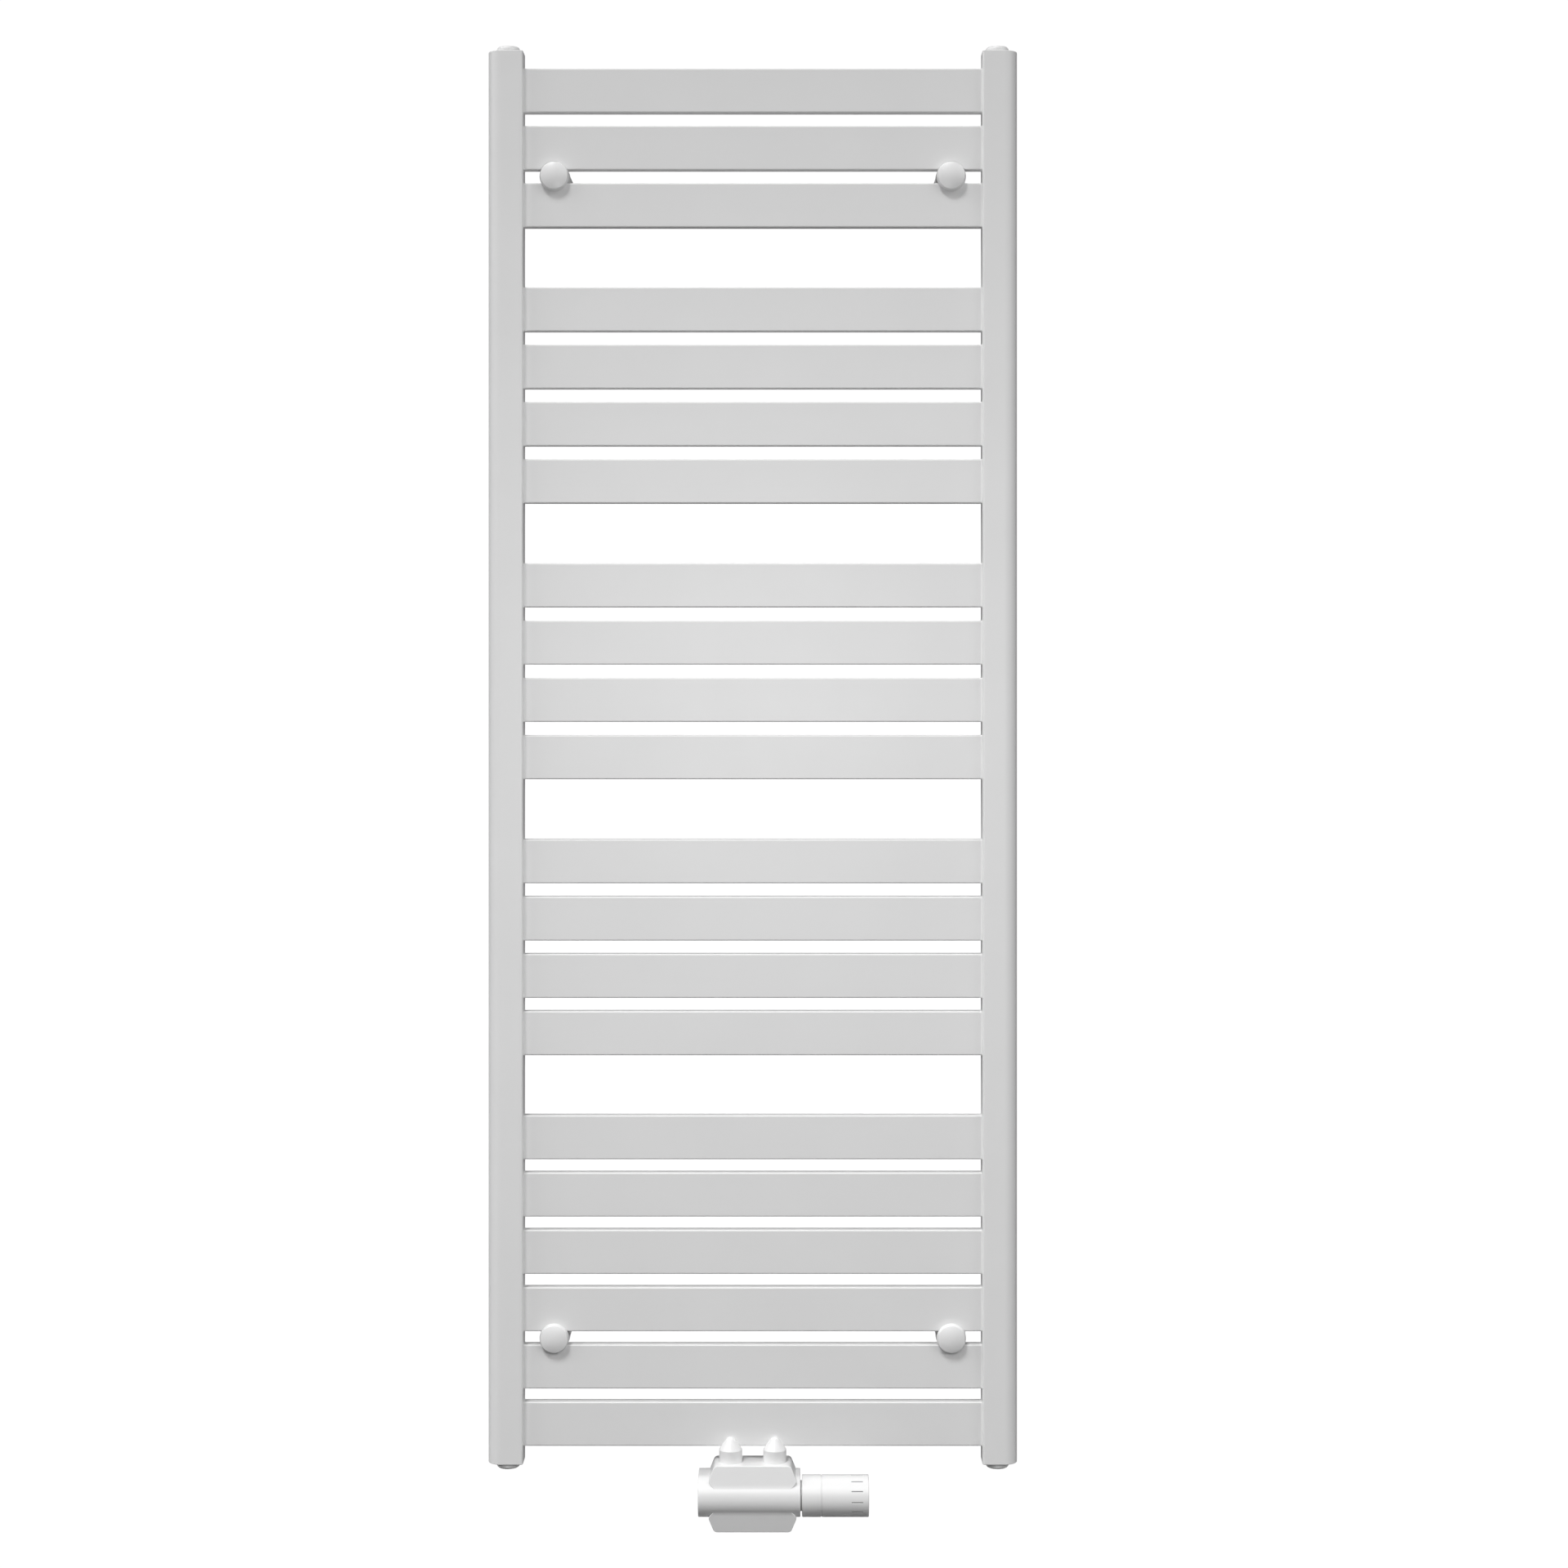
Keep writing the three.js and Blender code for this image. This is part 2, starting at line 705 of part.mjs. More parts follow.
// A quarter turn carries the side passage away from the waterway and shuts it.
function makeShutoffPlug() {
  const front = shutoffRecess - shutoffHousingLength;
  const end = shutoffRadius + shutoffInnerReach;
  const slot = box(
    [-shutoffSlotWidth / 2, front - past, -shutoffRadius - past],
    [shutoffSlotWidth / 2, front + shutoffSlotDepth, shutoffRadius + past],
  );
  return cut(
    bar("Y", shutoffRadius, front, end),
    bar("Y", shutoffPassageRadius, -shutoffPassageRadius, end + past),
    bar("Z", shutoffPassageRadius, 0, shutoffRadius + past),
    slot,
  );
}

for (const [side, across] of sides) {
  const plug = mesh(`shutoff_plug_${side}`, makeShutoffPlug(), "steel");
  plug.position.set(across * bossX, barrelForward, -outletDrop);
  valve.add(plug);
}

const head = new THREE.Group(); // on the barrel's axis, at the right-hand connection
head.position.x = bossX;
valve.add(head);

function makeInsert() {
  const hexEnd = headThreadEnd + fit + insertHexLength;
  return turnedRing("X", [
    [pinRadius + fit, insertStart],
    [insertRadius, insertStart],
    [insertRadius, headThreadEnd + fit],
    [insertHexRadius, headThreadEnd + fit],
    [insertHexRadius, hexEnd],
    [insertNeckRadius, hexEnd],
    [insertNeckRadius, insertNeckEnd],
    [pinRadius + fit, insertNeckEnd],
  ], hidden);
}

head.add(mesh("thermostatic_insert", makeInsert(), "nickel"));

const valvePin = turned("X", [
  [0, pinStart],
  [discRadius, pinStart],
  [discRadius, pinStart + discThickness],
  [pinRadius, pinStart + discThickness],
  [pinRadius, pinEnd],
  [0, pinEnd],
], hidden);
head.add(mesh("valve_pin", valvePin, "steel"));

// ---- Thermostat head ---------------------------------------------------------------------------

const knobStart = collarEnd + headGrooveWidth;

function makeHeadCollar() {
  const sleeveEnd = knobStart + collarReach;
  const grooveEnd = knobStart - fit;
  const threadBore = headThreadRadius + fit;
  const threadBoreEnd = headThreadEnd + clear;
  const hexBore = insertHexRadius + clear;
  const hexRoom = headThreadEnd + fit + insertHexLength + clear;
  const webEnd = hexRoom + collarWeb;
  const pinBore = insertNeckRadius + clear;
  return turnedRing("X", [
    [threadBore, headNeckStart],
    [headNeckRadius, headNeckStart],
    [headNeckRadius, headStart],
    [headRadius - headEdge, headStart],
    [headRadius, headStart + headEdge],
    [headRadius, collarEnd],
    [headRadius - headGrooveDepth, collarEnd],
    [headRadius - headGrooveDepth, grooveEnd],
    [collarSleeveRadius, grooveEnd],
    [collarSleeveRadius, sleeveEnd],
    [collarBoreRadius, sleeveEnd],
    [collarBoreRadius, webEnd],
    [pinBore, webEnd],
    [pinBore, hexRoom],
    [hexBore, hexRoom],
    [hexBore, threadBoreEnd],
    [threadBore, threadBoreEnd],
  ], large);
}

head.add(mesh("head_collar", makeHeadCollar(), "plastic"));

function makeKnob() {
  const floor = headEnd - headWall;
  const hubStart = floor - knobHubReach;
  const skirt = headRadius - headWall;
  const cup = turned("X", [
    [0, floor],
    [sensorStemRadius + fit, floor],
    [sensorStemRadius + fit, hubStart],
    [knobHubRadius, hubStart],
    [knobHubRadius, floor],
    [skirt, floor],
    [skirt, knobStart],
    [headRadius, knobStart],
    [headRadius, headEnd - headEdge],
    [headRadius - headEdge, headEnd],
    [0, headEnd],
  ], large);
  const ticks = Array.from({ length: tickCount }, (_, i) =>
    box(
      [tickStart, -headRadius - past, -tickWidth / 2],
      [tickStart + tickLength, -headRadius + tickDepth, tickWidth / 2],
    ).rotate([(360 * i) / tickCount + tickPhase, 0, 0]),
  );
  return cut(cup, ...ticks);
}

head.add(mesh("head_knob", makeKnob(), "plastic"));

const sensor = turned("X", [
  [0, pinEnd + fit],
  [sensorRodRadius, pinEnd + fit],
  [sensorRodRadius, sensorStart],
  [sensorRadius, sensorStart],
  [sensorRadius, sensorEnd],
  [sensorStemRadius, sensorEnd],
  [sensorStemRadius, sensorStemEnd],
  [0, sensorStemEnd],
], hidden);
head.add(mesh("sensor_capsule", sensor, "darkPlastic"));

// ---- Valve cover -------------------------------------------------------------------------------

// The cover's outer form, shrunk on every side by an inset, back to a given plane: an upper and a
// lower housing with slanted front faces, each narrowing again towards the barrel between them.
function coverForm(inset, back) {
  const top = coverHalfHeight - inset;
  const narrow = bossX + coverNarrow - inset;
  const wide = bossX + coverWide - inset;
  const waist = bossX + coverNeck - inset;
  const corner = [coverCorner, 2];
  const upperRight = [
    [coverWaist, waist],
    [coverHalfHeight - coverShoulder, wide, ...corner],
    [top, narrow, ...corner],
  ];
  const mirrored = (corners, signZ, signX) =>
    corners.map(([z, x, ...rest]) => [signZ * z, signX * x, ...rest]);
  const outline = [
    ...upperRight,
    ...mirrored(upperRight, 1, -1).reverse(),
    ...mirrored(upperRight, -1, -1),
    ...mirrored(upperRight, -1, 1).reverse(),
  ];
  const ridge = coverRidge - inset / Math.cos(coverTilt);
  const edge = ridge - top * Math.tan(coverTilt);
  const sideView = [[-ridge, 0], [-edge, -top], [back, -top], [back, top], [-edge, top]];
  const housing = prism("Y", rounded(outline.reverse()), -ridge, back)
    .intersect(prism("X", sideView, -wide, wide));
  const radius = barrelRadius - inset;
  const ends = [inset - bossX - barrelLeft, bossX + barrelRight - inset];
  const round = bar("X", radius, ...ends, large);
  const straight = box([ends[0], 0, -radius], [ends[1], back, radius]);
  return join(housing, round, straight);
}

function makeCover() {
  const shell = cut(coverForm(0, coverBack), coverForm(coverWall, coverBack + past));
  const boss = bossRadius + clear;
  const [slotFoot, slotTop] = [barrelRadius + past, coverHalfHeight + past];
  const bossSlots = [-bossX, bossX].flatMap((x) => [
    bar("Z", boss, slotFoot, slotTop, small).translate([x, barrelForward, 0]),
    box([x - boss, barrelForward, slotFoot], [x + boss, coverBack + past, slotTop]),
  ]);
  const neck = headNeckRadius + clear;
  const rightEnd = bossX + barrelRight;
  const neckSlot = [
    bar("X", neck, rightEnd - coverWall - past, rightEnd + past, small),
    box([rightEnd - coverWall - past, 0, -neck], [rightEnd + past, coverBack + past, neck]),
  ];
  return cut(shell, ...bossSlots, ...neckSlot);
}

valve.add(mesh("valve_cover", makeCover(), "plastic"));

// The back plate closes the cover from behind and is held by the two outlets.
function makeBackPlate() {
  const back = coverBack - backPlateInset;
  const front = back - backPlateThickness;
  const slice = box([-width, front, -height], [width, back, height]);
  const plate = coverForm(coverWall + fit, back).intersect(slice);
  const outlets = [-bossX, bossX].map((x) =>
    bar("Y", portRadius + fit, front - past, back + past).translate([x, 0, -outletDrop]),
  );
  return cut(plate, ...outlets);
}

valve.add(mesh("cover_back_plate", makeBackPlate(), "plastic"));

export default object;
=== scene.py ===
"""Looks for a wall-hung ladder towel radiator with a covered valve and a thermostat head.

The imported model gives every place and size; this file makes the fine surfaces and finishes around it.
Metres, +Z up; the radiator's front faces -Y and the wall it hangs on is the plane Y = 0.
"""
import json
import math

import bpy
import numpy as np
from bpy.props import FloatProperty, FloatVectorProperty, IntProperty, PointerProperty
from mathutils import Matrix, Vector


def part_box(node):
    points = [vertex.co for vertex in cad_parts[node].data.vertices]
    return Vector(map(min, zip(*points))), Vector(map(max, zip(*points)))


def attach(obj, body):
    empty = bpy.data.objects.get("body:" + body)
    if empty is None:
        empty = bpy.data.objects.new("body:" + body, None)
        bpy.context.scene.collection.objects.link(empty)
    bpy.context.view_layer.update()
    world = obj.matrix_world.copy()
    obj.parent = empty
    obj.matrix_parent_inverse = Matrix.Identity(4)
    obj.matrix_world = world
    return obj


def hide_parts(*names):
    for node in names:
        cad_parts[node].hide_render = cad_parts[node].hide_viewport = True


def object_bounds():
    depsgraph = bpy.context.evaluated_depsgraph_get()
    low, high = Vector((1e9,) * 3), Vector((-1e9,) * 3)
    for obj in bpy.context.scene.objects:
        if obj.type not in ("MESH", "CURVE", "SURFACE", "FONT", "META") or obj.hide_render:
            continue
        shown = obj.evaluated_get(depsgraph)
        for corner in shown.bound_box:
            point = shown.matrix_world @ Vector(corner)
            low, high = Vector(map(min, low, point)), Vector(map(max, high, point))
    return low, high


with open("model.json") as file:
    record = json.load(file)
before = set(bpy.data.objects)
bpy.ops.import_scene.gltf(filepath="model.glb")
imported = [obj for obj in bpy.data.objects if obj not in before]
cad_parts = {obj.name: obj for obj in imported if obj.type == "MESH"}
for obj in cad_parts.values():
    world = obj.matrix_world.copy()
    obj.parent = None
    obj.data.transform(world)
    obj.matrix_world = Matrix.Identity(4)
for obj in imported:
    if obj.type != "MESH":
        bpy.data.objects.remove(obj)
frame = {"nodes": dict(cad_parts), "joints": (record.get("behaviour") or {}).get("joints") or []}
CAD_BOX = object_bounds()

bl_info = {
    "name": "Towel radiator",
    "version": (1, 0, 0),
    "blender": (4, 5, 0),
    "location": "3D View > Sidebar > Radiator",
    "description": "Fine surfaces and finishes for a ladder towel radiator with its valve",
    "category": "Add Mesh",
}

MM = 0.001
SIDES = ("left", "right")
ENDS = ("top", "bottom")
SUPPORT = 0.25 * MM  # a strip this wide keeps a flat face flat beside a rounding
ALMOST = 0.999  # a round end takes this share of half a width, so that a sliver of flat is left
AXIS_GAP = 0.2 * MM  # the line of a rod or a bore starts this far from its axis, with a small flat
CLEAR = 5 * MM  # a cutting tool stands out of the face it cuts by this much
SHARP = math.radians(38)  # a steeper crease than this stays a crease
RAILS = sorted(node for node in frame["nodes"] if node.startswith("rail_"))


def corners(node):
    """Lowest and highest corner of a CAD node, as arrays."""
    low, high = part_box(node)
    return np.array(low), np.array(high)


def middle(node):
    low, high = corners(node)
    return (low + high) / 2


# ---- Settings ----------------------------------------------------------------------------------


def length(name, description, millimetres):
    return FloatProperty(
        name=name, description=description, default=millimetres * MM, unit="LENGTH", precision=5
    )


def number(name, description, default):
    return FloatProperty(name=name, description=description, default=default)


def colour(name, description, rgb):
    return FloatVectorProperty(
        name=name, description=description, default=rgb, size=3, min=0, max=1, subtype="COLOR"
    )


class RadiatorShape(bpy.types.PropertyGroup):
    """Roundings and small sizes that the plain model leaves out."""

    rail_edge: length("Rail edge", "Rounding along a rail's four edges", 1.6)
    collector_inner_edge: length("Collector inner edge", "Rounding of the two edges towards the rails", 2.5)
    collector_end_edge: length("Collector end edge", "Rounding around a collector's flat end", 0.7)
    weld_bead: length("Weld bead", "Size of the painted seam where a rail meets a collector", 0.9)
    plug_edge: length("Plug edge", "Rounding around a plug's top", 4.0)
    plug_key: length("Plug key", "Hexagon socket across flats", 12.0)
    cap_dome: length("Cap dome", "Rise of a bracket cap's face", 3.1)
    cap_edge: length("Cap edge", "Rounding between a cap's face and its side", 0.8)
    boss_tip: length("Boss tip", "Rounding at the top of a connection boss", 7.0)
    pad_edge: length("Pad edge", "Rounding around the valve cover's front pads", 0.7)
    cover_back_edge: length("Cover back edge", "Rounding around the back of the valve cover", 1.0)
    barrel_edge: length("Barrel edge", "Rounding at the ends of the cover's barrel", 0.9)
    head_edge: length("Head edge", "Rounding at the ends of the thermostat head", 0.9)
    mark_count: IntProperty(name="Scale marks", description="Engraved marks around the knob", default=12)
    mark_length: length("Mark length", "Length of a scale mark along the knob", 13.0)
    mark_phase: FloatProperty(
        name="Mark phase", description="Turn of the marks from level", default=math.radians(2.3),
        unit="ROTATION",
    )
    mark_width: length("Mark width", "Width of a scale mark", 1.15)
    mark_depth: length("Mark depth", "Depth of a scale mark", 0.35)
    thread_pitch: length("Thread pitch", "Pitch of the pipe outlets' threads", 1.81)


class RadiatorFinish(bpy.types.PropertyGroup):
    """Colours and surface roughness of each finish."""

    paint: colour("Paint", "Powder coat on the radiator", (0.83, 0.83, 0.83))
    plastic: colour("Plastic", "Moulded cover, head and caps", (0.84, 0.84, 0.84))
    mark: colour("Scale mark", "Bottom of the engraved marks", (0.2, 0.2, 0.205))
    nickel: colour("Nickel", "Plated valve body and nuts", (0.62, 0.60, 0.55))
    brass: colour("Brass", "Turned shut-off plugs", (0.70, 0.53, 0.27))
    zinc: colour("Zinc", "Plated screws", (0.55, 0.56, 0.58))
    sensor: colour("Sensor", "Dark shell of the sensor", (0.035, 0.037, 0.04))
    floor: colour("Floor", "Studio floor", (0.86, 0.86, 0.86))
    paint_roughness: number("Paint roughness", "Roughness of the powder coat", 0.42)
    plastic_roughness: number("Plastic roughness", "Roughness of the plastic", 0.34)


class StudioSettings(bpy.types.PropertyGroup):
    """Camera and light."""

    distance: length("Distance", "Camera to the collectors' front", 3000)
    aside: length("Aside", "Camera to the right of the radiator's middle", 35.4)
    above: length("Above", "Camera above the radiator's mid-height", 103.9)
    lens: number("Lens", "Focal length on a 36 mm sensor, in mm", 60.92)
    shift: number("Shift", "Rise of the view as a share of its width", -0.0755)
    key: number("Key light", "Strength of the steep light in front, from the left", 1.67)
    fill: number("Fill light", "Strength of the low light on the right", 0.95)
    side: number("Side light", "Strength of the low light on the left", 1.4)
    back: number("Back light", "Strength of the light on the back", 1.5)
    panel: number("Panel", "Power of the panel before the middle, in watts", 3.5)
    sky: number("Sky", "Strength of the dome of light", 0.08)
    ground: number("Ground", "Strength of the light from below the horizon", 0.1)
    horizon: number("Horizon", "Half height of the dome's soft lower edge", 0.1)
    lean: number("Lean", "How much brighter the dome is on the right", 0.3)
    floor_drop: length("Floor drop", "Floor below the valve", 170)


def shape():
    return bpy.context.scene.radiator_shape


def finish():
    return bpy.context.scene.radiator_finish


# ---- Surfaces ----------------------------------------------------------------------------------


def rounded_outline(points, inset=0.0, steps=6):
    """A closed outline from rows (u, v, radius), anticlockwise, moved inwards by inset.

    Each edge moves along its inward normal; a corner moves by the sum of its two normals over one
    plus their product, and turns into an arc about the point one radius inside both edges. A narrow
    straight step stands before and after every arc, so that the flats beside it shade flat.
    """
    rows = np.asarray(points, float)
    corner, radius = rows[:, :2], rows[:, 2]
    along = np.roll(corner, -1, 0) - corner
    along /= np.linalg.norm(along, axis=1, keepdims=True)
    before = np.roll(along, 1, 0)
    inward, inward_before = along[:, ::-1] * (-1, 1), before[:, ::-1] * (-1, 1)
    cosine = (inward * inward_before).sum(1)
    corner = corner + inset * (inward + inward_before) / (1 + cosine)[:, None]
    turn = np.arctan2(before[:, 0] * along[:, 1] - before[:, 1] * along[:, 0], (before * along).sum(1))
    side = np.sign(turn)
    radius = np.maximum(radius - side * inset, 0.02 * MM)
    reach = radius * np.abs(np.tan(turn / 2))
    start = corner - before * reach[:, None]
    centre = start + inward_before * (radius * side)[:, None]
    angle = turn[:, None] * np.linspace(0, 1, steps + 1)
    spoke = start - centre
    arc_u = centre[:, :1] + spoke[:, :1] * np.cos(angle) - spoke[:, 1:] * np.sin(angle)
    arc_v = centre[:, 1:] + spoke[:, :1] * np.sin(angle) + spoke[:, 1:] * np.cos(angle)
    arc = np.stack((arc_u, arc_v), 2)
    straight = np.linalg.norm(np.roll(arc[:, 0], -1, 0) - arc[:, -1], axis=1)
    strip = np.minimum(SUPPORT, straight / 4)[:, None]
    lead = (arc[:, 0] - before * np.roll(strip, 1, 0))[:, None]
    trail = (arc[:, -1] + along * strip)[:, None]
    return np.concatenate((lead, arc, trail), 1).reshape(-1, 2)


def rounded_line(points, steps=6):
    """An open line from rows (u, v, radius): its ends stay, and each corner between becomes an arc."""
    outline = rounded_outline(points, steps=steps).reshape(len(points), -1, 2)
    ends = np.asarray(points, float)[[0, -1], :2]
    return np.concatenate((ends[:1], outline[1:-1].reshape(-1, 2), ends[1:]))


def to_axis(axis, u, v, w):
    """Points with w along an axis and (u, v) across it, in cyclic order after that axis."""
    order = {"X": (w, u, v), "Y": (v, w, u), "Z": (u, v, w)}[axis]
    return np.stack(np.broadcast_arrays(*order), -1)


def edge_rings(rounding, low, high, steps=5):
    """Insets and distances of the rings of a bar whose two ends are rounded by (low, high) radii.

    Along each end the inset falls from the radius to nothing as one minus the sine of an angle
    while the distance grows as one minus its cosine: a quarter circle.
    """
    angle = np.linspace(0, math.pi / 2, steps + 1)
    inset, place = [], []
    for radius, end, way in ((rounding[0], low, 1), (rounding[1], high, -1)):
        if radius:
            quarter_in = np.concatenate(([radius + SUPPORT], radius * (1 - np.sin(angle)), [0]))
            quarter_at = np.concatenate(([0], radius * (1 - np.cos(angle)), [radius + SUPPORT]))
        else:
            quarter_in, quarter_at = np.zeros(2), np.array((0, SUPPORT))
        inset.append(quarter_in[::way])
        place.append((end + way * quarter_at)[::way])
    return np.concatenate(inset), np.concatenate(place)


def prism(axis, outline, low, high, rounding=(0, 0), steps=6):
    """Rings of an outline of (u, v, radius) rows carried along an axis, with rounded ends."""
    insets, places = edge_rings(rounding, low, high)
    rings = [rounded_outline(outline, inset, steps) for inset in insets]
    return np.array([to_axis(axis, *ring.T, place) for ring, place in zip(rings, places)])


def turned(axis, centre, line, segments=96):
    """Rings of a line of (radius, distance) pairs turned about an axis: a circle for each pair."""
    angle = np.linspace(0, 2 * math.pi, segments, endpoint=False)
    radius, along = np.asarray(line)[:, :1], np.asarray(line)[:, 1:]
    return to_axis(axis, radius * np.cos(angle), radius * np.sin(angle), along) + np.asarray(centre)


def rod(name, axis, centre, radius, reach, segments):
    """A plain cylinder between two distances along an axis."""
    start, end = reach
    line = [(AXIS_GAP, start), (radius, start), (radius, end), (AXIS_GAP, end)]
    return skin_mesh(name, turned(axis, centre, line, segments))


def rectangle(u0, u1, v0, v1, radius):
    return [(u0, v0, radius), (u1, v0, radius), (u1, v1, radius), (u0, v1, radius)]


def hexagon(across_flats, radius):
    """Rows of a hexagon whose corners lie at 30, 90, 150 ... degrees."""
    angle = np.radians(np.arange(30, 390, 60))
    reach = across_flats / math.sqrt(3)
    return np.stack((reach * np.cos(angle), reach * np.sin(angle), np.full(6, radius)), 1)


def skin_mesh(name, rings, wrap=False):
    """A mesh of one closed shell, whose quads join each ring to the next.

    With wrap the last ring joins the first, and otherwise one flat face closes each end. A shell
    whose signed volume is negative is turned the right way out.
    """
    rows, columns = rings.shape[:2]
    index = np.arange(rows * columns).reshape(rows, columns)
    here = index if wrap else index[:-1]
    following = np.roll(index, -1, 0) if wrap else index[1:]
    quads = np.stack((here, np.roll(here, -1, 1), np.roll(following, -1, 1), following), -1)
    quads = quads.reshape(-1, 4)
    points = rings.reshape(-1, 3)
    a, b, c, d = (points[quads[:, i]] - points.mean(0) for i in range(4))
    volume = (np.cross(a, b) * c).sum() + (np.cross(a, c) * d).sum()
    caps = [] if wrap else [index[0][::-1], index[-1]]
    if volume < 0:
        quads = quads[:, ::-1]
        caps = [cap[::-1] for cap in caps]
    mesh = bpy.data.meshes.new(name)
    mesh.from_pydata(points.tolist(), [], quads.tolist() + [cap.tolist() for cap in caps])
    smooth(mesh)
    return mesh


def smooth(mesh):
    mesh.validate()
    mesh.update()
    mesh.shade_smooth()
    mesh.set_sharp_from_angle(angle=SHARP)


def add_object(name, mesh, material):
    piece = bpy.data.objects.new(name, mesh)
    bpy.context.scene.collection.objects.link(piece)
    mesh.materials.clear()
    mesh.materials.append(material)
    return piece


def carve(mesh, *steps):
    """The mesh after joining or cutting other closed meshes.

    Steps are pairs of "UNION" or "DIFFERENCE" and a mesh, and are done in order.
    """
    base = add_object(mesh.name + "_blank", mesh, None)
    tools = []
    for number, (operation, tool_mesh) in enumerate(steps):
        tool = add_object(f"{mesh.name}_tool_{number}", tool_mesh, None)
        modifier = base.modifiers.new(operation, "BOOLEAN")
        modifier.operation, modifier.solver, modifier.object = operation, "EXACT", tool
        tools.append(tool)
    bpy.context.view_layer.update()
    evaluated = base.evaluated_get(bpy.context.evaluated_depsgraph_get())
    result = bpy.data.meshes.new_from_object(evaluated)
    for spare in (base, *tools):
        bpy.data.objects.remove(spare)
    smooth(result)
    return result


def place(mesh, body, slot, *nodes):
    """A piece of the mesh that moves with a body, wears a slot's finish and stands for CAD nodes."""
    piece = add_object(nodes[0] + "_skin", mesh, material(slot))
    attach(piece, body)
    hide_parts(*nodes)


def use_finish(node, slot):
    """A CAD node that keeps its own shape gets a slot's finish."""
    for holder in frame["nodes"][node].material_slots:
        holder.material = material(slot)


# ---- Finishes ----------------------------------------------------------------------------------


def add_node(tree, kind, **inputs):
    """A new node in a tree; each input is a value, or another node's output to link to."""
    made = tree.nodes.new(kind)
    for key, value in inputs.items():
        socket = made.inputs[key.replace("_", " ")]
        if isinstance(value, bpy.types.NodeSocket):
            tree.links.new(value, socket)
        else:
            socket.default_value = value
    return made


class Finish:
    """A principled material whose texture nodes are added one after another."""

    def __init__(self, name, base, roughness, metallic=0.0):
        self.material = bpy.data.materials.new(name)
        self.material.use_nodes = True
        self.tree = self.material.node_tree
        self.shader = self.tree.nodes["Principled BSDF"]
        self.shader.inputs["Base Color"].default_value = (*base, 1)
        self.shader.inputs["Roughness"].default_value = roughness
        self.shader.inputs["Metallic"].default_value = metallic
        self.base = np.array(base)
        self.place = self.node("ShaderNodeTexCoord").outputs["Object"]
        self.height = None

    def node(self, kind, **inputs):
        return add_node(self.tree, kind, **inputs)

    def noise(self, size, detail=3.0, roughness=0.5, stretch=(1, 1, 1)):
        """Noise with grains of about one size, in metres, drawn out along each axis by stretch."""
        mapping = self.node("ShaderNodeMapping", Vector=self.place)
        mapping.inputs["Scale"].default_value = [1 / (size * s) for s in stretch]
        return self.node(
            "ShaderNodeTexNoise", Vector=mapping.outputs[0], Scale=1.0, Detail=detail, Roughness=roughness
        ).outputs["Fac"]

    def ranged(self, value, low, high):
        return self.node("ShaderNodeMapRange", Value=value, To_Min=low, To_Max=high).outputs["Result"]

    def tint(self, value, darker):
        """The base colour, up to a share darker where the value is low."""
        ramp = self.node("ShaderNodeValToRGB", Fac=value)
        ramp.color_ramp.elements[0].position = 0.3
        ramp.color_ramp.elements[1].position = 0.7
        ramp.color_ramp.elements[0].color = (*(self.base * (1 - darker)), 1)
        ramp.color_ramp.elements[1].color = (*self.base, 1)
        self.tree.links.new(ramp.outputs["Color"], self.shader.inputs["Base Color"])
        return ramp.outputs["Color"]

    def gloss(self, value, low, high):
        self.tree.links.new(self.ranged(value, low, high), self.shader.inputs["Roughness"])

    def bump(self, value, height, strength=1.0):
        made = self.node("ShaderNodeBump", Height=value, Distance=height, Strength=strength)
        if self.height is not None:
            self.tree.links.new(self.height, made.inputs["Normal"])
        self.height = made.outputs["Normal"]
        self.tree.links.new(self.height, self.shader.inputs["Normal"])


def powder_coat(name, tone=1.0):
    """White powder coat: a faint long-wave unevenness, fine orange peel and a satin gloss."""
    roughness = finish().paint_roughness
    made = Finish(name, np.array(finish().paint) * tone, roughness)
    made.shader.inputs["Coat Weight"].default_value = 0.12
    made.shader.inputs["Coat Roughness"].default_value = 0.28
    made.tint(made.noise(90 * MM, detail=2), 0.018)
    made.gloss(made.noise(14 * MM, detail=4), roughness - 0.04, roughness + 0.05)
    made.bump(made.noise(2.2 * MM, detail=1), 0.05 * MM, 0.35)
    made.bump(made.noise(0.45 * MM, detail=2), 0.012 * MM, 0.4)
    return made.material


def moulded_plastic(name, marked=False):
    """White moulded plastic: smoother than paint, with a fine spark-eroded grain.

    Marked plastic turns to dark ink where the mesh's own mark attribute is one.
    """
    roughness = finish().plastic_roughness
    made = Finish(name, finish().plastic, roughness)
    body = made.tint(made.noise(60 * MM, detail=2), 0.012)
    if marked:
        mark = made.node("ShaderNodeAttribute")
        mark.attribute_name = "mark"
        mix = made.node("ShaderNodeMix")
        mix.data_type = "RGBA"
        factor, plain_colour, ink = mix.inputs[0], mix.inputs[6], mix.inputs[7]
        made.tree.links.new(mark.outputs["Fac"], factor)
        made.tree.links.new(body, plain_colour)
        ink.default_value = (*finish().mark, 1)
        made.tree.links.new(mix.outputs[2], made.shader.inputs["Base Color"])
    made.gloss(made.noise(5 * MM, detail=3), roughness - 0.03, roughness + 0.04)
    made.bump(made.noise(0.3 * MM, detail=2), 0.01 * MM, 0.35)
    return made.material


def plated_metal(name, base, roughness, stretch=(1, 1, 1)):
    """Plated or turned metal: cloudy gloss, tool marks drawn out by stretch and a faint tarnish."""
    made = Finish(name, base, roughness, metallic=1.0)
    made.tint(made.noise(9 * MM, detail=4), 0.16)
    made.gloss(made.noise(3 * MM, detail=4), roughness - 0.08, roughness + 0.12)
    made.bump(made.noise(0.35 * MM, detail=2, stretch=stretch), 0.02 * MM, 0.5)
    return made.material


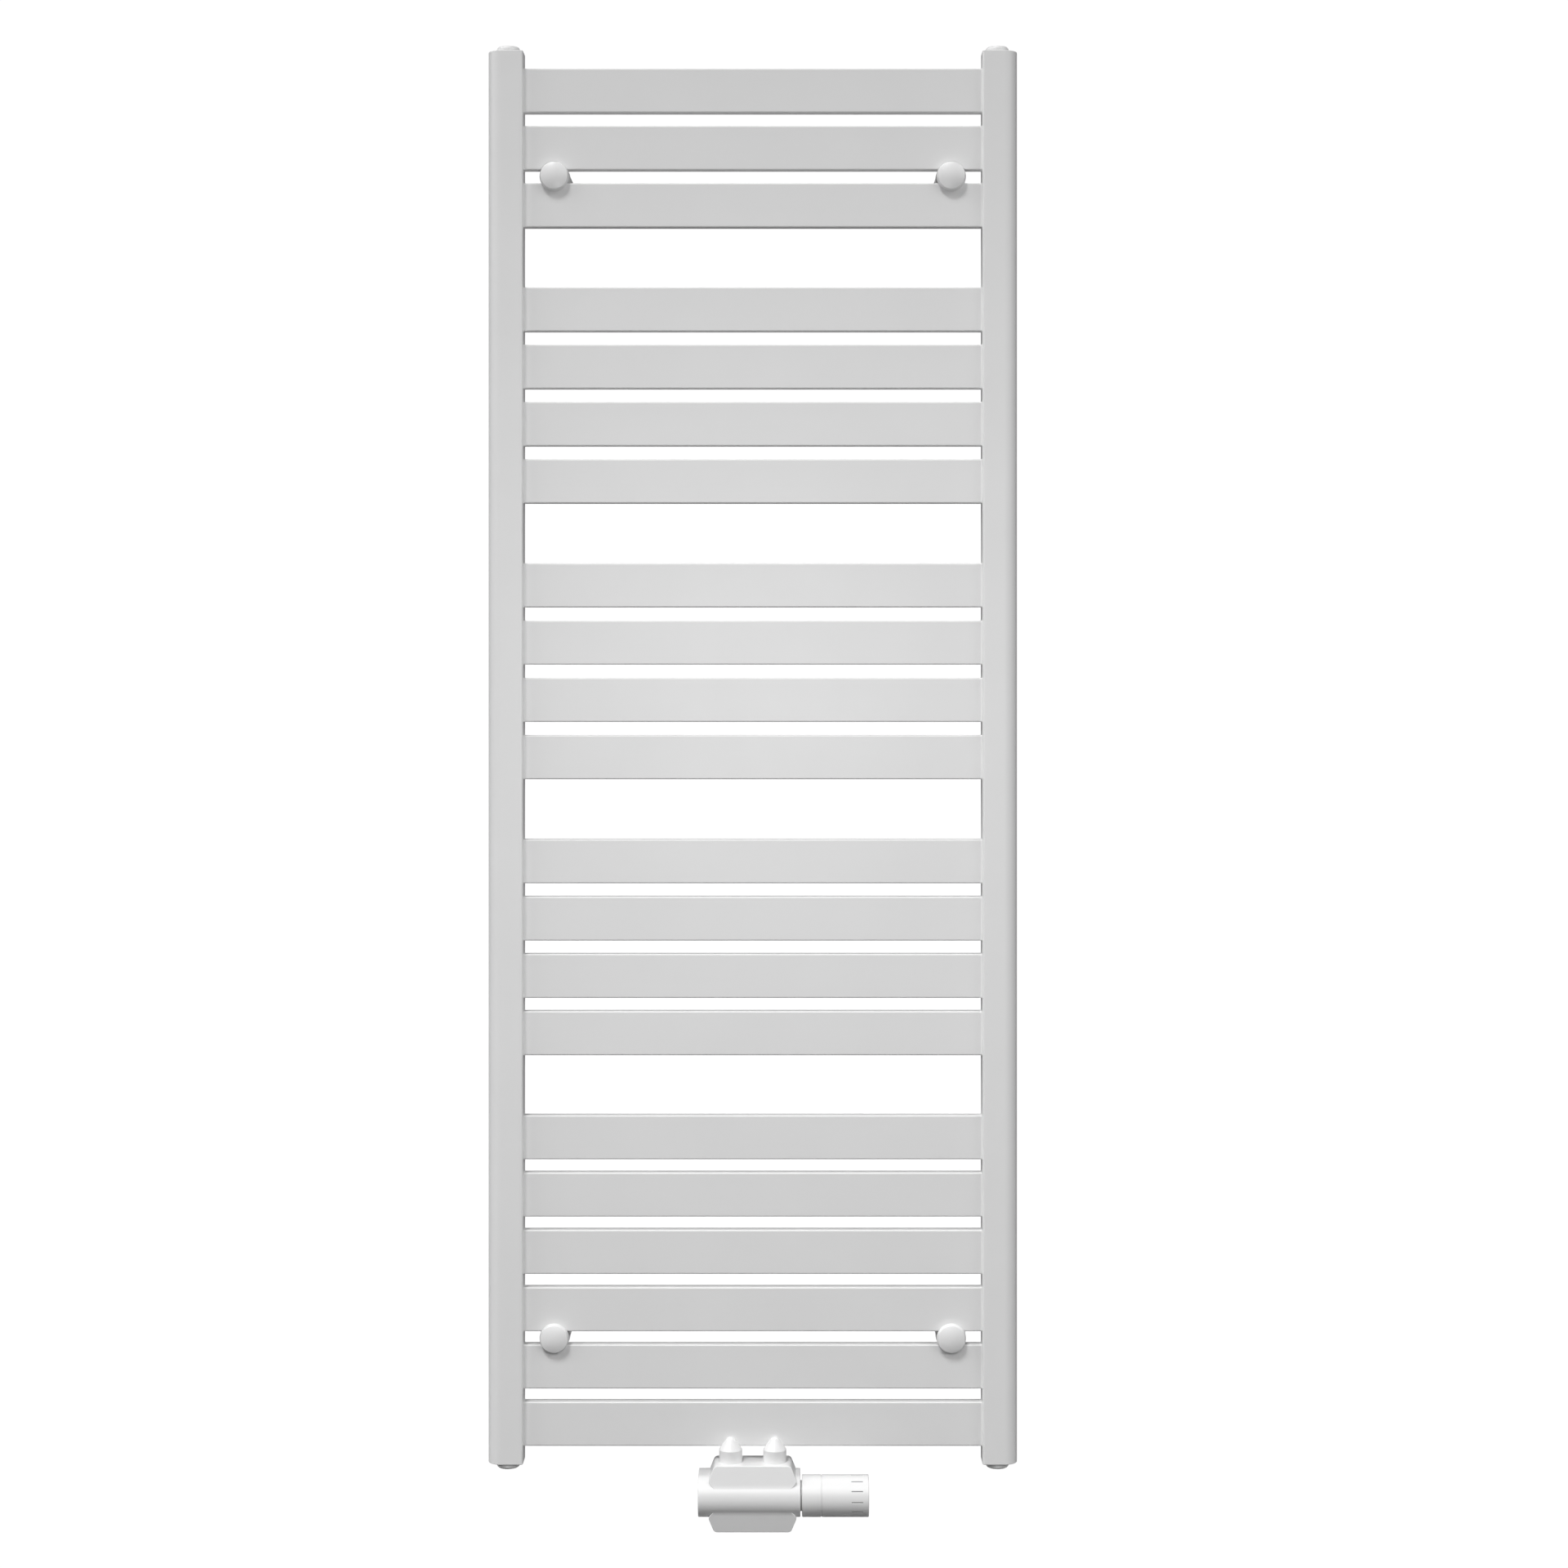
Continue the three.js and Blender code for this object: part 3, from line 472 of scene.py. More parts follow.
def dark_shell(name):
    made = Finish(name, finish().sensor, 0.5)
    made.tint(made.noise(4 * MM, detail=3), 0.25)
    made.gloss(made.noise(2 * MM, detail=3), 0.42, 0.6)
    made.bump(made.noise(0.4 * MM, detail=2), 0.02 * MM, 0.5)
    return made.material


def studio_floor_finish(name):
    made = Finish(name, finish().floor, 0.7)
    made.tint(made.noise(0.6, detail=3), 0.03)
    made.gloss(made.noise(0.05, detail=3), 0.62, 0.78)
    made.bump(made.noise(0.01, detail=3), 0.1 * MM, 0.3)
    return made.material


MAKERS = {
    "radiator_paint": lambda: powder_coat("Powder coat"),
    "plug_paint": lambda: powder_coat("Plug paint", 1.01),
    "bracket_plastic": lambda: moulded_plastic("Bracket plastic"),
    "cover_plastic": lambda: moulded_plastic("Cover plastic"),
    "head_plastic": lambda: moulded_plastic("Head plastic", marked=True),
    "nickel_brass": lambda: plated_metal("Nickel plating", finish().nickel, 0.3),
    "brass_spindle": lambda: plated_metal("Turned brass", finish().brass, 0.26, (1, 8, 1)),
    "screw_steel": lambda: plated_metal("Zinc plating", finish().zinc, 0.34),
    "sensor_shell": lambda: dark_shell("Sensor shell"),
    "floor": lambda: studio_floor_finish("Studio floor"),
}


def material(slot):
    """The finish of a slot, made the first time it is asked for."""
    key = "slot:" + slot
    known = [m for m in bpy.data.materials if m.get("radiator_slot") == key]
    if known:
        return known[0]
    made = MAKERS[slot]()
    made["radiator_slot"] = key
    return made


# ---- Radiator ----------------------------------------------------------------------------------


class RADIATOR_OT_collectors(bpy.types.Operator):
    """Two D-section collectors: flat in front, half round outside, closed at both ends"""

    bl_idname = "radiator.collectors"
    bl_label = "Collectors"

    def execute(self, context):
        for side in SIDES:
            node = f"collector_{side}"
            low, high = corners(node)
            outer, inner = (high[1] - low[1]) / 2 * ALMOST, shape().collector_inner_edge
            left, right = (outer, inner) if side == "left" else (inner, outer)
            outline = [
                (low[0], low[1], left), (high[0], low[1], right),
                (high[0], high[1], right), (low[0], high[1], left),
            ]
            edge = shape().collector_end_edge
            rings = prism("Z", outline, low[2], high[2], (edge, edge), steps=14)
            place(skin_mesh(node + "_skin", rings), "radiator", "radiator_paint", node)
        return {"FINISHED"}


class RADIATOR_OT_rails(bpy.types.Operator):
    """Flat rails with rounded edges, and a small painted weld bead where each meets a collector"""

    bl_idname = "radiator.rails"
    bl_label = "Rails"

    def execute(self, context):
        left, right = corners("collector_left")[1][0], corners("collector_right")[0][0]
        bead = shape().weld_bead
        for node in RAILS:
            low, high = corners(node)
            outline = rectangle(low[1], high[1], low[2], high[2], shape().rail_edge)
            angle = np.linspace(0, math.pi / 2, 5)
            # The bead is a hollow quarter round: it swells the rail's outline near the collector.
            swell = bead * (1 - np.sin(angle))[::-1]
            reach = bead * (1 - np.cos(angle))[::-1]
            inset = np.concatenate((-swell[::-1], [0, 0], -swell))
            flat = [left + bead + SUPPORT, right - bead - SUPPORT]
            at = np.concatenate((left + reach[::-1], flat, right - reach))
            rings = [to_axis("X", *rounded_outline(outline, i).T, x) for i, x in zip(inset, at)]
            mesh = skin_mesh(node + "_skin", np.array(rings))
            place(mesh, "radiator", "radiator_paint", node)
        return {"FINISHED"}


class RADIATOR_OT_plugs(bpy.types.Operator):
    """Rounded end plugs with a hexagon socket, and the air vent with its bore"""

    bl_idname = "radiator.plugs"
    bl_label = "Plugs and air vent"

    def execute(self, context):
        thread, key_depth = 10.2 * MM, 4.5 * MM
        vent_bores = ((6 * MM, 3 * MM), (3.3 * MM, 14 * MM))  # radius and depth of each
        for end in ENDS:
            for side in SIDES:
                vent = (end, side) == ("top", "right")
                node = "air_vent_body" if vent else f"plug_{end}_{side}"
                up = 1 if end == "top" else -1
                low, high = corners(node)
                centre = np.array((*middle(node)[:2], 0))
                top, foot = (high[2], low[2]) if up > 0 else (low[2], high[2])
                seat = corners(f"collector_{side}")[1 if up > 0 else 0][2]
                radius = (high[0] - low[0]) / 2
                line = rounded_line([
                    (0.4 * MM, foot, 0), (thread, foot, 0.8 * MM), (thread, seat, 0.1 * MM),
                    (radius, seat, 0.3 * MM), (radius, top, shape().plug_edge), (0.4 * MM, top, 0),
                ], 8)
                if vent:
                    tools = [self.pit(centre, top, up, *bore) for bore in vent_bores]
                else:
                    reach = sorted((top - up * key_depth, top + up * CLEAR))
                    socket = prism("Z", hexagon(shape().plug_key, 0.5 * MM), *reach) + centre
                    tools = [skin_mesh("socket", socket)]
                blank = skin_mesh(node + "_skin", turned("Z", centre, line))
                mesh = carve(blank, *[("DIFFERENCE", tool) for tool in tools])
                place(mesh, "radiator", "plug_paint", node)
        use_finish("bleed_screw", "nickel_brass")
        return {"FINISHED"}

    @staticmethod
    def pit(centre, top, up, radius, depth):
        return rod("pit", "Z", centre, radius, sorted((top - up * depth, top + up * CLEAR)), 48)


class RADIATOR_OT_brackets(bpy.types.Operator):
    """Four wall brackets: a domed cap, a clamp screw, a rear saddle and a telescopic wall foot each"""

    bl_idname = "radiator.brackets"
    bl_label = "Wall brackets"

    def execute(self, context):
        for end in ENDS:
            for side in SIDES:
                where = f"{end}_{side}"
                self.cap(where)
                self.saddle(where)
                self.foot(where)
                use_finish(f"clamp_screw_{where}", "screw_steel")
        return {"FINISHED"}

    @staticmethod
    def cap(where):
        node = f"bracket_cap_{where}"
        low, high = corners(node)
        centre = middle(node) * (1, 0, 1)
        rim, face, wall = (high[0] - low[0]) / 2, 15.2 * MM, 1.6 * MM
        rise = shape().cap_dome
        last = 0.94  # at this share of the face the dome goes over into a straight slope
        share = np.linspace(0.02, 1, 16)
        share = share[share < last - 0.01]
        dome = np.stack((face * share, low[1] + rise * share**2), 1)
        slope = 2 * rise / face
        edge = rounded_line([
            (face * last, low[1] + rise * last**2, 0),
            (face, low[1] + rise * last**2 + slope * face * (1 - last), shape().cap_edge),
            (rim, high[1], 0.35 * MM), (rim - wall, high[1], 0.35 * MM),
            (face - wall, low[1] + rise + wall, 0.8 * MM), (0.3 * MM, low[1] + wall, 0),
        ])
        mesh = skin_mesh(node + "_skin", turned("Y", centre, np.concatenate((dome, edge))))
        place(mesh, "radiator", "bracket_plastic", node)

    @staticmethod
    def saddle(where):
        node = f"clamp_saddle_{where}"
        low, high = corners(node)
        centre = middle(node) * (1, 0, 1)
        seat = corners(RAILS[0])[1][1]
        radius, spigot, tongue, bore = (high[0] - low[0]) / 2, 12 * MM, 6.8 * MM, 4.3 * MM
        bore_end = low[1] + 23 * MM
        plate_front, plate_back = seat + 0.3 * MM, seat + 5.3 * MM
        line = rounded_line([
            (0.3 * MM, bore_end, 0), (bore, bore_end, 0.2 * MM), (bore, low[1], 0.4 * MM),
            (tongue, low[1], 0.6 * MM), (tongue, plate_front, 0.3 * MM), (radius, plate_front, 0.6 * MM),
            (radius, plate_back, 1.2 * MM), (spigot, plate_back, 1.0 * MM),
            (spigot, high[1], 0.8 * MM), (0.3 * MM, high[1], 0),
        ])
        mesh = skin_mesh(node + "_skin", turned("Y", centre, line))
        place(mesh, "radiator", "bracket_plastic", node)

    @staticmethod
    def foot(where):
        node = f"wall_foot_{where}"
        low, high = corners(node)
        centre = middle(node) * (1, 0, 1)
        radius, bore, hole, head = (high[0] - low[0]) / 2, 12.3 * MM, 3 * MM, 6 * MM
        base = high[1] - 4 * MM
        line = rounded_outline([
            (bore, low[1], 0.5 * MM), (radius, low[1], 1.2 * MM), (radius, high[1], 0.6 * MM),
            (hole, high[1], 0.2 * MM), (hole, base + 3 * MM, 0.2 * MM), (head, base, 0.2 * MM),
            (bore, base, 0.6 * MM),
        ])
        blank = skin_mesh(node + "_skin", turned("Y", centre, line), wrap=True)
        grub, grub_place = 2.5 * MM, np.array((centre[0], low[1] + 8 * MM, 0))
        under = (centre[2] - radius - CLEAR, centre[2])
        mesh = carve(blank, ("DIFFERENCE", rod("grub", "Z", grub_place, grub, under, 32)))
        place(mesh, f"foot_{where}", "bracket_plastic", node)


class RADIATOR_OT_bosses(bpy.types.Operator):
    """Two connection bosses with conical rounded tops, notched to sit against the lowest rail"""

    bl_idname = "radiator.bosses"
    bl_label = "Connection bosses"

    def execute(self, context):
        lowest = corners(RAILS[-1])
        for side in SIDES:
            node = f"connection_boss_{side}"
            low, high = corners(node)
            centre = boss_axis() * (-1 if side == "left" else 1, 1, 1)
            radius, cone, bore = (high[0] - low[0]) / 2, math.radians(35.2), 10.5 * MM
            bore_end = low[2] + 12 * MM
            tip = shape().boss_tip
            tip_centre = high[2] - tip
            apex = tip_centre + tip / math.sin(cone)
            shoulder = apex - radius / math.tan(cone)
            angle = np.linspace(cone, math.pi / 2 - 0.02, 12)
            top = np.stack((tip * np.cos(angle), tip_centre + tip * np.sin(angle)), 1)
            side_line = rounded_line([
                (0.3 * MM, bore_end, 0), (bore, bore_end, 0.3 * MM), (bore, low[2], 0.6 * MM),
                (radius, low[2], 0.6 * MM), (radius, shoulder, 0.7 * MM), (*top[0], 0),
            ])
            line = np.concatenate((side_line[:-1], top))
            blank = skin_mesh(node + "_skin", turned("Z", centre, line))
            # The notch is a bar along X whose front lower edge is the lowest rail's, a hair wider.
            front, under = lowest[0][1:] - 0.05 * MM
            size, reach = 30 * MM, 20 * MM
            notch = rectangle(front, front + size, under, under + size, 1.6 * MM)
            tool = skin_mesh("notch", prism("X", notch, centre[0] - reach, centre[0] + reach))
            place(carve(blank, ("DIFFERENCE", tool)), "radiator", "radiator_paint", node)
        return {"FINISHED"}


# ---- Valve -------------------------------------------------------------------------------------


def thread_line(radius, depth, low, high, pitch):
    """Pairs (radius, distance) of a row of V grooves: a triangle wave between the two radii."""
    count = int((high - low) / pitch) * 2 + 1
    along = low + np.arange(count) * pitch / 2
    return np.stack((radius - depth * (np.arange(count) % 2), along), 1)


def joint_place(name):
    return next(joint for joint in frame["joints"] if joint["name"] == name)["pos_m"]


def valve_centre():
    """The middle of the barrel's axis, which the knob turns about."""
    return np.array((0, *joint_place("knob_turn")[1:]))


def boss_axis():
    """The axis of the right-hand connection: its X and Y, with Z nought."""
    return np.array((*joint_place("shutoff_right_turn")[:2], 0))


def connection_half():
    return boss_axis()[0]


class RADIATOR_OT_valve_body(bpy.types.Operator):
    """Plated valve body with threaded pipe outlets; nuts, nipples and inner pieces get their finish"""

    bl_idname = "radiator.valve_body"
    bl_label = "Valve body"

    def execute(self, context):
        low, high = corners("valve_body")
        centre, (half, boss_y, _) = valve_centre(), boss_axis()
        port, neck, bore = 13.2 * MM, 11.9 * MM, 7 * MM
        thread, thread_bore, thread_floor = 15 * MM, 9 * MM, half + 8 * MM
        head_end, back, front = high[0], high[1], boss_y - 14 * MM
        head = np.concatenate((
            [(AXIS_GAP, half), (thread, half)],
            thread_line(thread, 0.8 * MM, half + 14 * MM, head_end - 1 * MM, 1.5 * MM),
            [(thread - 0.8 * MM, head_end), (thread_bore, head_end), (thread_bore, thread_floor),
             (AXIS_GAP, thread_floor)],
        ))
        tube_floor = centre[2] - 8 * MM
        tube = rounded_line([
            (AXIS_GAP, low[2], 0), (port, low[2], 1.5 * MM), (port, high[2] - 6 * MM, 0.2 * MM),
            (port, high[2], 0.8 * MM), (bore, high[2], 0.3 * MM), (bore, tube_floor, 0),
        ])
        tube = np.concatenate((tube, [(AXIS_GAP, tube_floor)]))
        outlet = np.concatenate((
            [(AXIS_GAP, boss_y), (neck, boss_y), (neck, back - 16 * MM), (port, back - 15 * MM)],
            thread_line(port, 0.9 * MM, back - 14 * MM, back - 2 * MM, shape().thread_pitch),
            [(neck, back - 1.2 * MM), (neck - 0.8 * MM, back), (8 * MM, back), (bore, back - 3 * MM),
             (bore, boss_y + 8 * MM), (AXIS_GAP, boss_y + 8 * MM)],
        ))
        screw_bore, housing = 6.3 * MM, 9 * MM
        housing_line = [
            (AXIS_GAP, front + 12 * MM), (screw_bore, front + 12 * MM), (screw_bore, front),
            (housing - 0.6 * MM, front), (housing, front + 0.6 * MM), (housing, boss_y), (AXIS_GAP, boss_y),
        ]
        on_axis = np.array((0, centre[1], centre[2]))
        steps = [("UNION", skin_mesh("head_thread", turned("X", on_axis, head, 64)))]
        for across in (-half, half):
            upright, level = np.array((across, boss_y, 0)), np.array((across, 0, low[2] + 9.5 * MM))
            steps += [
                ("UNION", skin_mesh("port", turned("Z", upright, tube, 64))),
                ("UNION", skin_mesh("outlet", turned("Y", level, outlet, 64))),
                ("UNION", skin_mesh("housing", turned("Y", level, housing_line, 48))),
            ]
        blank = rod("valve_body_skin", "X", on_axis, 10 * MM, (-half, half), 64)
        place(carve(blank, *steps), "radiator", "nickel_brass", "valve_body")
        for side in SIDES:
            use_finish(f"nipple_{side}", "nickel_brass")
            use_finish(f"union_nut_{side}", "nickel_brass")
            use_finish(f"shutoff_plug_{side}", "brass_spindle")
        use_finish("thermostatic_insert", "nickel_brass")
        use_finish("valve_pin", "screw_steel")
        use_finish("sensor_capsule", "sensor_shell")
        return {"FINISHED"}


def housing_shell(name, up, inset, back, roundings):
    """A closed half of the cover's housing, shrunk by an inset: a prism along Y with a leaning front.

    Seen from the front it is a trapezium that narrows again towards the barrel. Its front end moves
    back by the tangent of the tilt for each unit of height above or below the barrel's axis.
    """
    low, high = corners("valve_cover")
    centre = valve_centre()
    top, inner, shoulder = (high[2] - low[2]) / 2, 8 * MM, 17.7 * MM
    past_narrow, past_wide, ahead = 18.1 * MM, 25.2 * MM, 21.6 * MM
    corner, tilt = 5 * MM, math.radians(11.5)
    spread = connection_half() - inset
    outer, wide_z = top - inset, top - shoulder
    narrow, wide = spread + past_narrow, spread + past_wide
    within = wide - (wide_z - inner)
    right = [(inner, within, 0.2 * MM), (wide_z, wide, corner), (outer, narrow, corner)]
    outline = [(up * z + centre[2], x, radius) for z, x, radius in right]
    outline += [(z, -x, radius) for z, x, radius in outline[::-1]]
    if up > 0:
        outline = outline[::-1]
    ridge = centre[1] - ahead + inset / math.cos(tilt)
    rings = prism("Y", outline, ridge, back, roundings)
    front = rings[:, 0, 1] < (ridge + back) / 2
    rings[front, :, 1] += math.tan(tilt) * np.abs(rings[front, :, 2] - centre[2])
    return skin_mesh(name, rings)


def barrel_shell(name, inset, back, rounding):
    """The cover's barrel, shrunk by an inset: round in front and straight-sided behind its axis."""
    low, high = corners("valve_cover")
    centre = valve_centre()
    full_radius = 23 * MM
    radius = full_radius - inset
    front, bottom, top = centre[1] - radius, centre[2] - radius, centre[2] + radius
    round_front, back_edge = radius * 0.9995, 0.8 * MM
    outline = [
        (front, bottom, round_front), (back, bottom, back_edge),
        (back, top, back_edge), (front, top, round_front),
    ]
    rings = prism("X", outline, low[0] + inset, high[0] - inset, (rounding, rounding), steps=24)
    return skin_mesh(name, rings)


class RADIATOR_OT_cover(bpy.types.Operator):
    """Clip-on valve cover: pads over a round barrel, a thin shell with slots, and its back plate"""

    bl_idname = "radiator.cover"
    bl_label = "Valve cover"

    def execute(self, context):
        high = corners("valve_cover")[1]
        centre, boss_y = valve_centre(), boss_axis()[1]
        wall, sleeve_slot, neck_slot = 2 * MM, 13.1 * MM, 17.25 * MM
        edges = (shape().pad_edge, shape().cover_back_edge)
        form = self.form("valve_cover_skin", "housing", 0, high[1], shape().barrel_edge, edges)
        hollow = self.form("room", "room_housing", wall, high[1] + 2 * MM, 0, (0.5 * MM, 0))
        steps = [("DIFFERENCE", hollow)]
        beyond, above = high[1] + 4 * MM, high[2] + 4 * MM
        for across in (-connection_half(), connection_half()):
            slot = self.slot(across, boss_y, sleeve_slot, beyond)
            rings = prism("Z", slot, centre[2] + 25 * MM, above, steps=16)
            steps.append(("DIFFERENCE", skin_mesh("slot", rings)))
        neck = [(y, z, r) for z, y, r in self.slot(centre[2], centre[1], neck_slot, beyond)]
        rings = prism("X", neck[::-1], high[0] - wall - 1 * MM, high[0] + 4 * MM, steps=16)
        steps.append(("DIFFERENCE", skin_mesh("neck", rings)))
        form.name = "valve_cover_skin"
        place(carve(form, *steps), "cover", "cover_plastic", "valve_cover")
        use_finish("cover_back_plate", "cover_plastic")
        return {"FINISHED"}

    @staticmethod
    def form(name, housing_name, inset, back, barrel_rounding, roundings):
        """The barrel joined with the housing's upper and lower half, all shrunk by an inset."""
        barrel = barrel_shell(name, inset, back, barrel_rounding)
        halves = [housing_shell(housing_name, up, inset, back, roundings) for up in (1, -1)]
        return carve(barrel, *[("UNION", half) for half in halves])

    @staticmethod
    def slot(across, middle_y, half_width, back):
        """Rows (x, y, radius) of a slot that is round in front and runs out at the back."""
        front = middle_y - half_width
        round_end = half_width * ALMOST
        return [
            (across - half_width, front, round_end), (across + half_width, front, round_end),
            (across + half_width, back, 0.1 * MM), (across - half_width, back, 0.1 * MM),
        ]


class RADIATOR_OT_head(bpy.types.Operator):
    """Thermostat head: fixed collar, and a knob whose engraved scale marks carry dark ink"""

    bl_idname = "radiator.head"
    bl_label = "Thermostat head"

    def execute(self, context):
        self.collar()
        self.knob()
        return {"FINISHED"}

    @staticmethod
    def collar():
        low, high = corners("head_collar")
        radius, edge = (high[2] - low[2]) / 2, shape().head_edge
        nut, bore, sleeve, sleeve_bore, pin_hole = 16.75 * MM, 15.3 * MM, 19.6 * MM, 17 * MM, 5 * MM
        start, knob_start = low[0], corners("head_knob")[0][0]
        base, end, seam = start + 11.8 * MM, knob_start - 1.4 * MM, knob_start - 0.1 * MM
        floor_low, floor_high, groove = base - 1 * MM, base + 3 * MM, radius - 0.6 * MM
        line = rounded_outline([
            (bore, start, 0.4 * MM), (nut, start, 0.5 * MM), (nut, base, 0.3 * MM),
            (radius, base, edge), (radius, end, 0.35 * MM), (groove, end, 0.1 * MM),
            (groove, seam, 0.1 * MM), (sleeve, seam, 0.3 * MM), (sleeve, high[0], 0.4 * MM),
            (sleeve_bore, high[0], 0.4 * MM), (sleeve_bore, floor_high, 0.4 * MM),
            (pin_hole, floor_high, 0.3 * MM), (pin_hole, floor_low, 0.2 * MM), (bore, floor_low, 0.3 * MM),
        ])
        mesh = skin_mesh("head_collar_skin", turned("X", valve_centre(), line, 144), wrap=True)
        place(mesh, "radiator", "head_plastic", "head_collar")

    @staticmethod
    def knob():
        """The knob's radius is its profile's, less the mark depth where a soft box in angle and
        distance is one: the product of two smooth steps about each mark."""
        low, high = corners("head_knob")
        radius, wall, edge = (high[2] - low[2]) / 2, 2.8 * MM, shape().head_edge
        inner, floor = radius - wall, high[0] - wall
        line = rounded_line([
            (0.3 * MM, floor, 0), (inner, floor, 1.0 * MM), (inner, low[0], 0.3 * MM),
            (radius, low[0], 0.35 * MM), (radius, high[0], edge), (0.3 * MM, high[0], 0),
        ], 6)
        mark_end = high[0] - 6.8 * MM
        mark_start = mark_end - shape().mark_length
        ends = (mark_start, mark_end)
        extra = np.concatenate([np.linspace(x - 0.5 * MM, x + 0.5 * MM, 7) for x in ends])
        on_side = np.isclose(line[:, 0], radius, atol=1e-7)
        long_side = np.flatnonzero(on_side & (np.diff(line[:, 1], append=1) > 5 * MM))[0]
        line = np.insert(line, long_side + 1, np.stack((np.full(len(extra), radius), extra), 1), 0)

        count = shape().mark_count
        step = 2 * math.pi / count
        half_angle = shape().mark_width / 2 / radius
        fine = np.linspace(-2.4, 2.4, 15) * half_angle
        coarse = np.linspace(fine[-1], step + fine[0], 10)[1:-1]
        turn = (np.arange(count)[:, None] * step + np.concatenate((fine, coarse))).ravel()
        away = np.abs((turn + step / 2) % step - step / 2)
        across = 1 - smooth_step(away, half_angle * 0.6, half_angle * 1.25)
        soft = 0.3 * MM
        begun, ended = (smooth_step(line[:, 1], x - soft, x + soft) for x in ends)
        within = begun * (1 - ended) * np.isclose(line[:, 0], radius, atol=1e-7)
        mark = within[:, None] * across
        angle = turn + (math.pi + shape().mark_phase)
        reach = line[:, :1] - shape().mark_depth * mark
        grid = to_axis("X", reach * np.cos(angle), reach * np.sin(angle), line[:, 1:]) + valve_centre()
        mesh = skin_mesh("head_knob_skin", grid)
        # Dark ink fills a groove's floor and ends part of the way up its sides.
        ink = np.clip(mark * 1.4 - 0.3, 0, 1).ravel().astype(np.float32)
        mesh.attributes.new("mark", "FLOAT", "POINT").data.foreach_set("value", ink)
        place(mesh, "knob", "head_plastic", "head_knob")


def smooth_step(value, low, high):
    """Nothing below low, one above high, and an S-shaped cubic between."""
    share = np.clip((value - low) / (high - low), 0, 1)
    return share * share * (3 - 2 * share)


# ---- Studio ------------------------------------------------------------------------------------


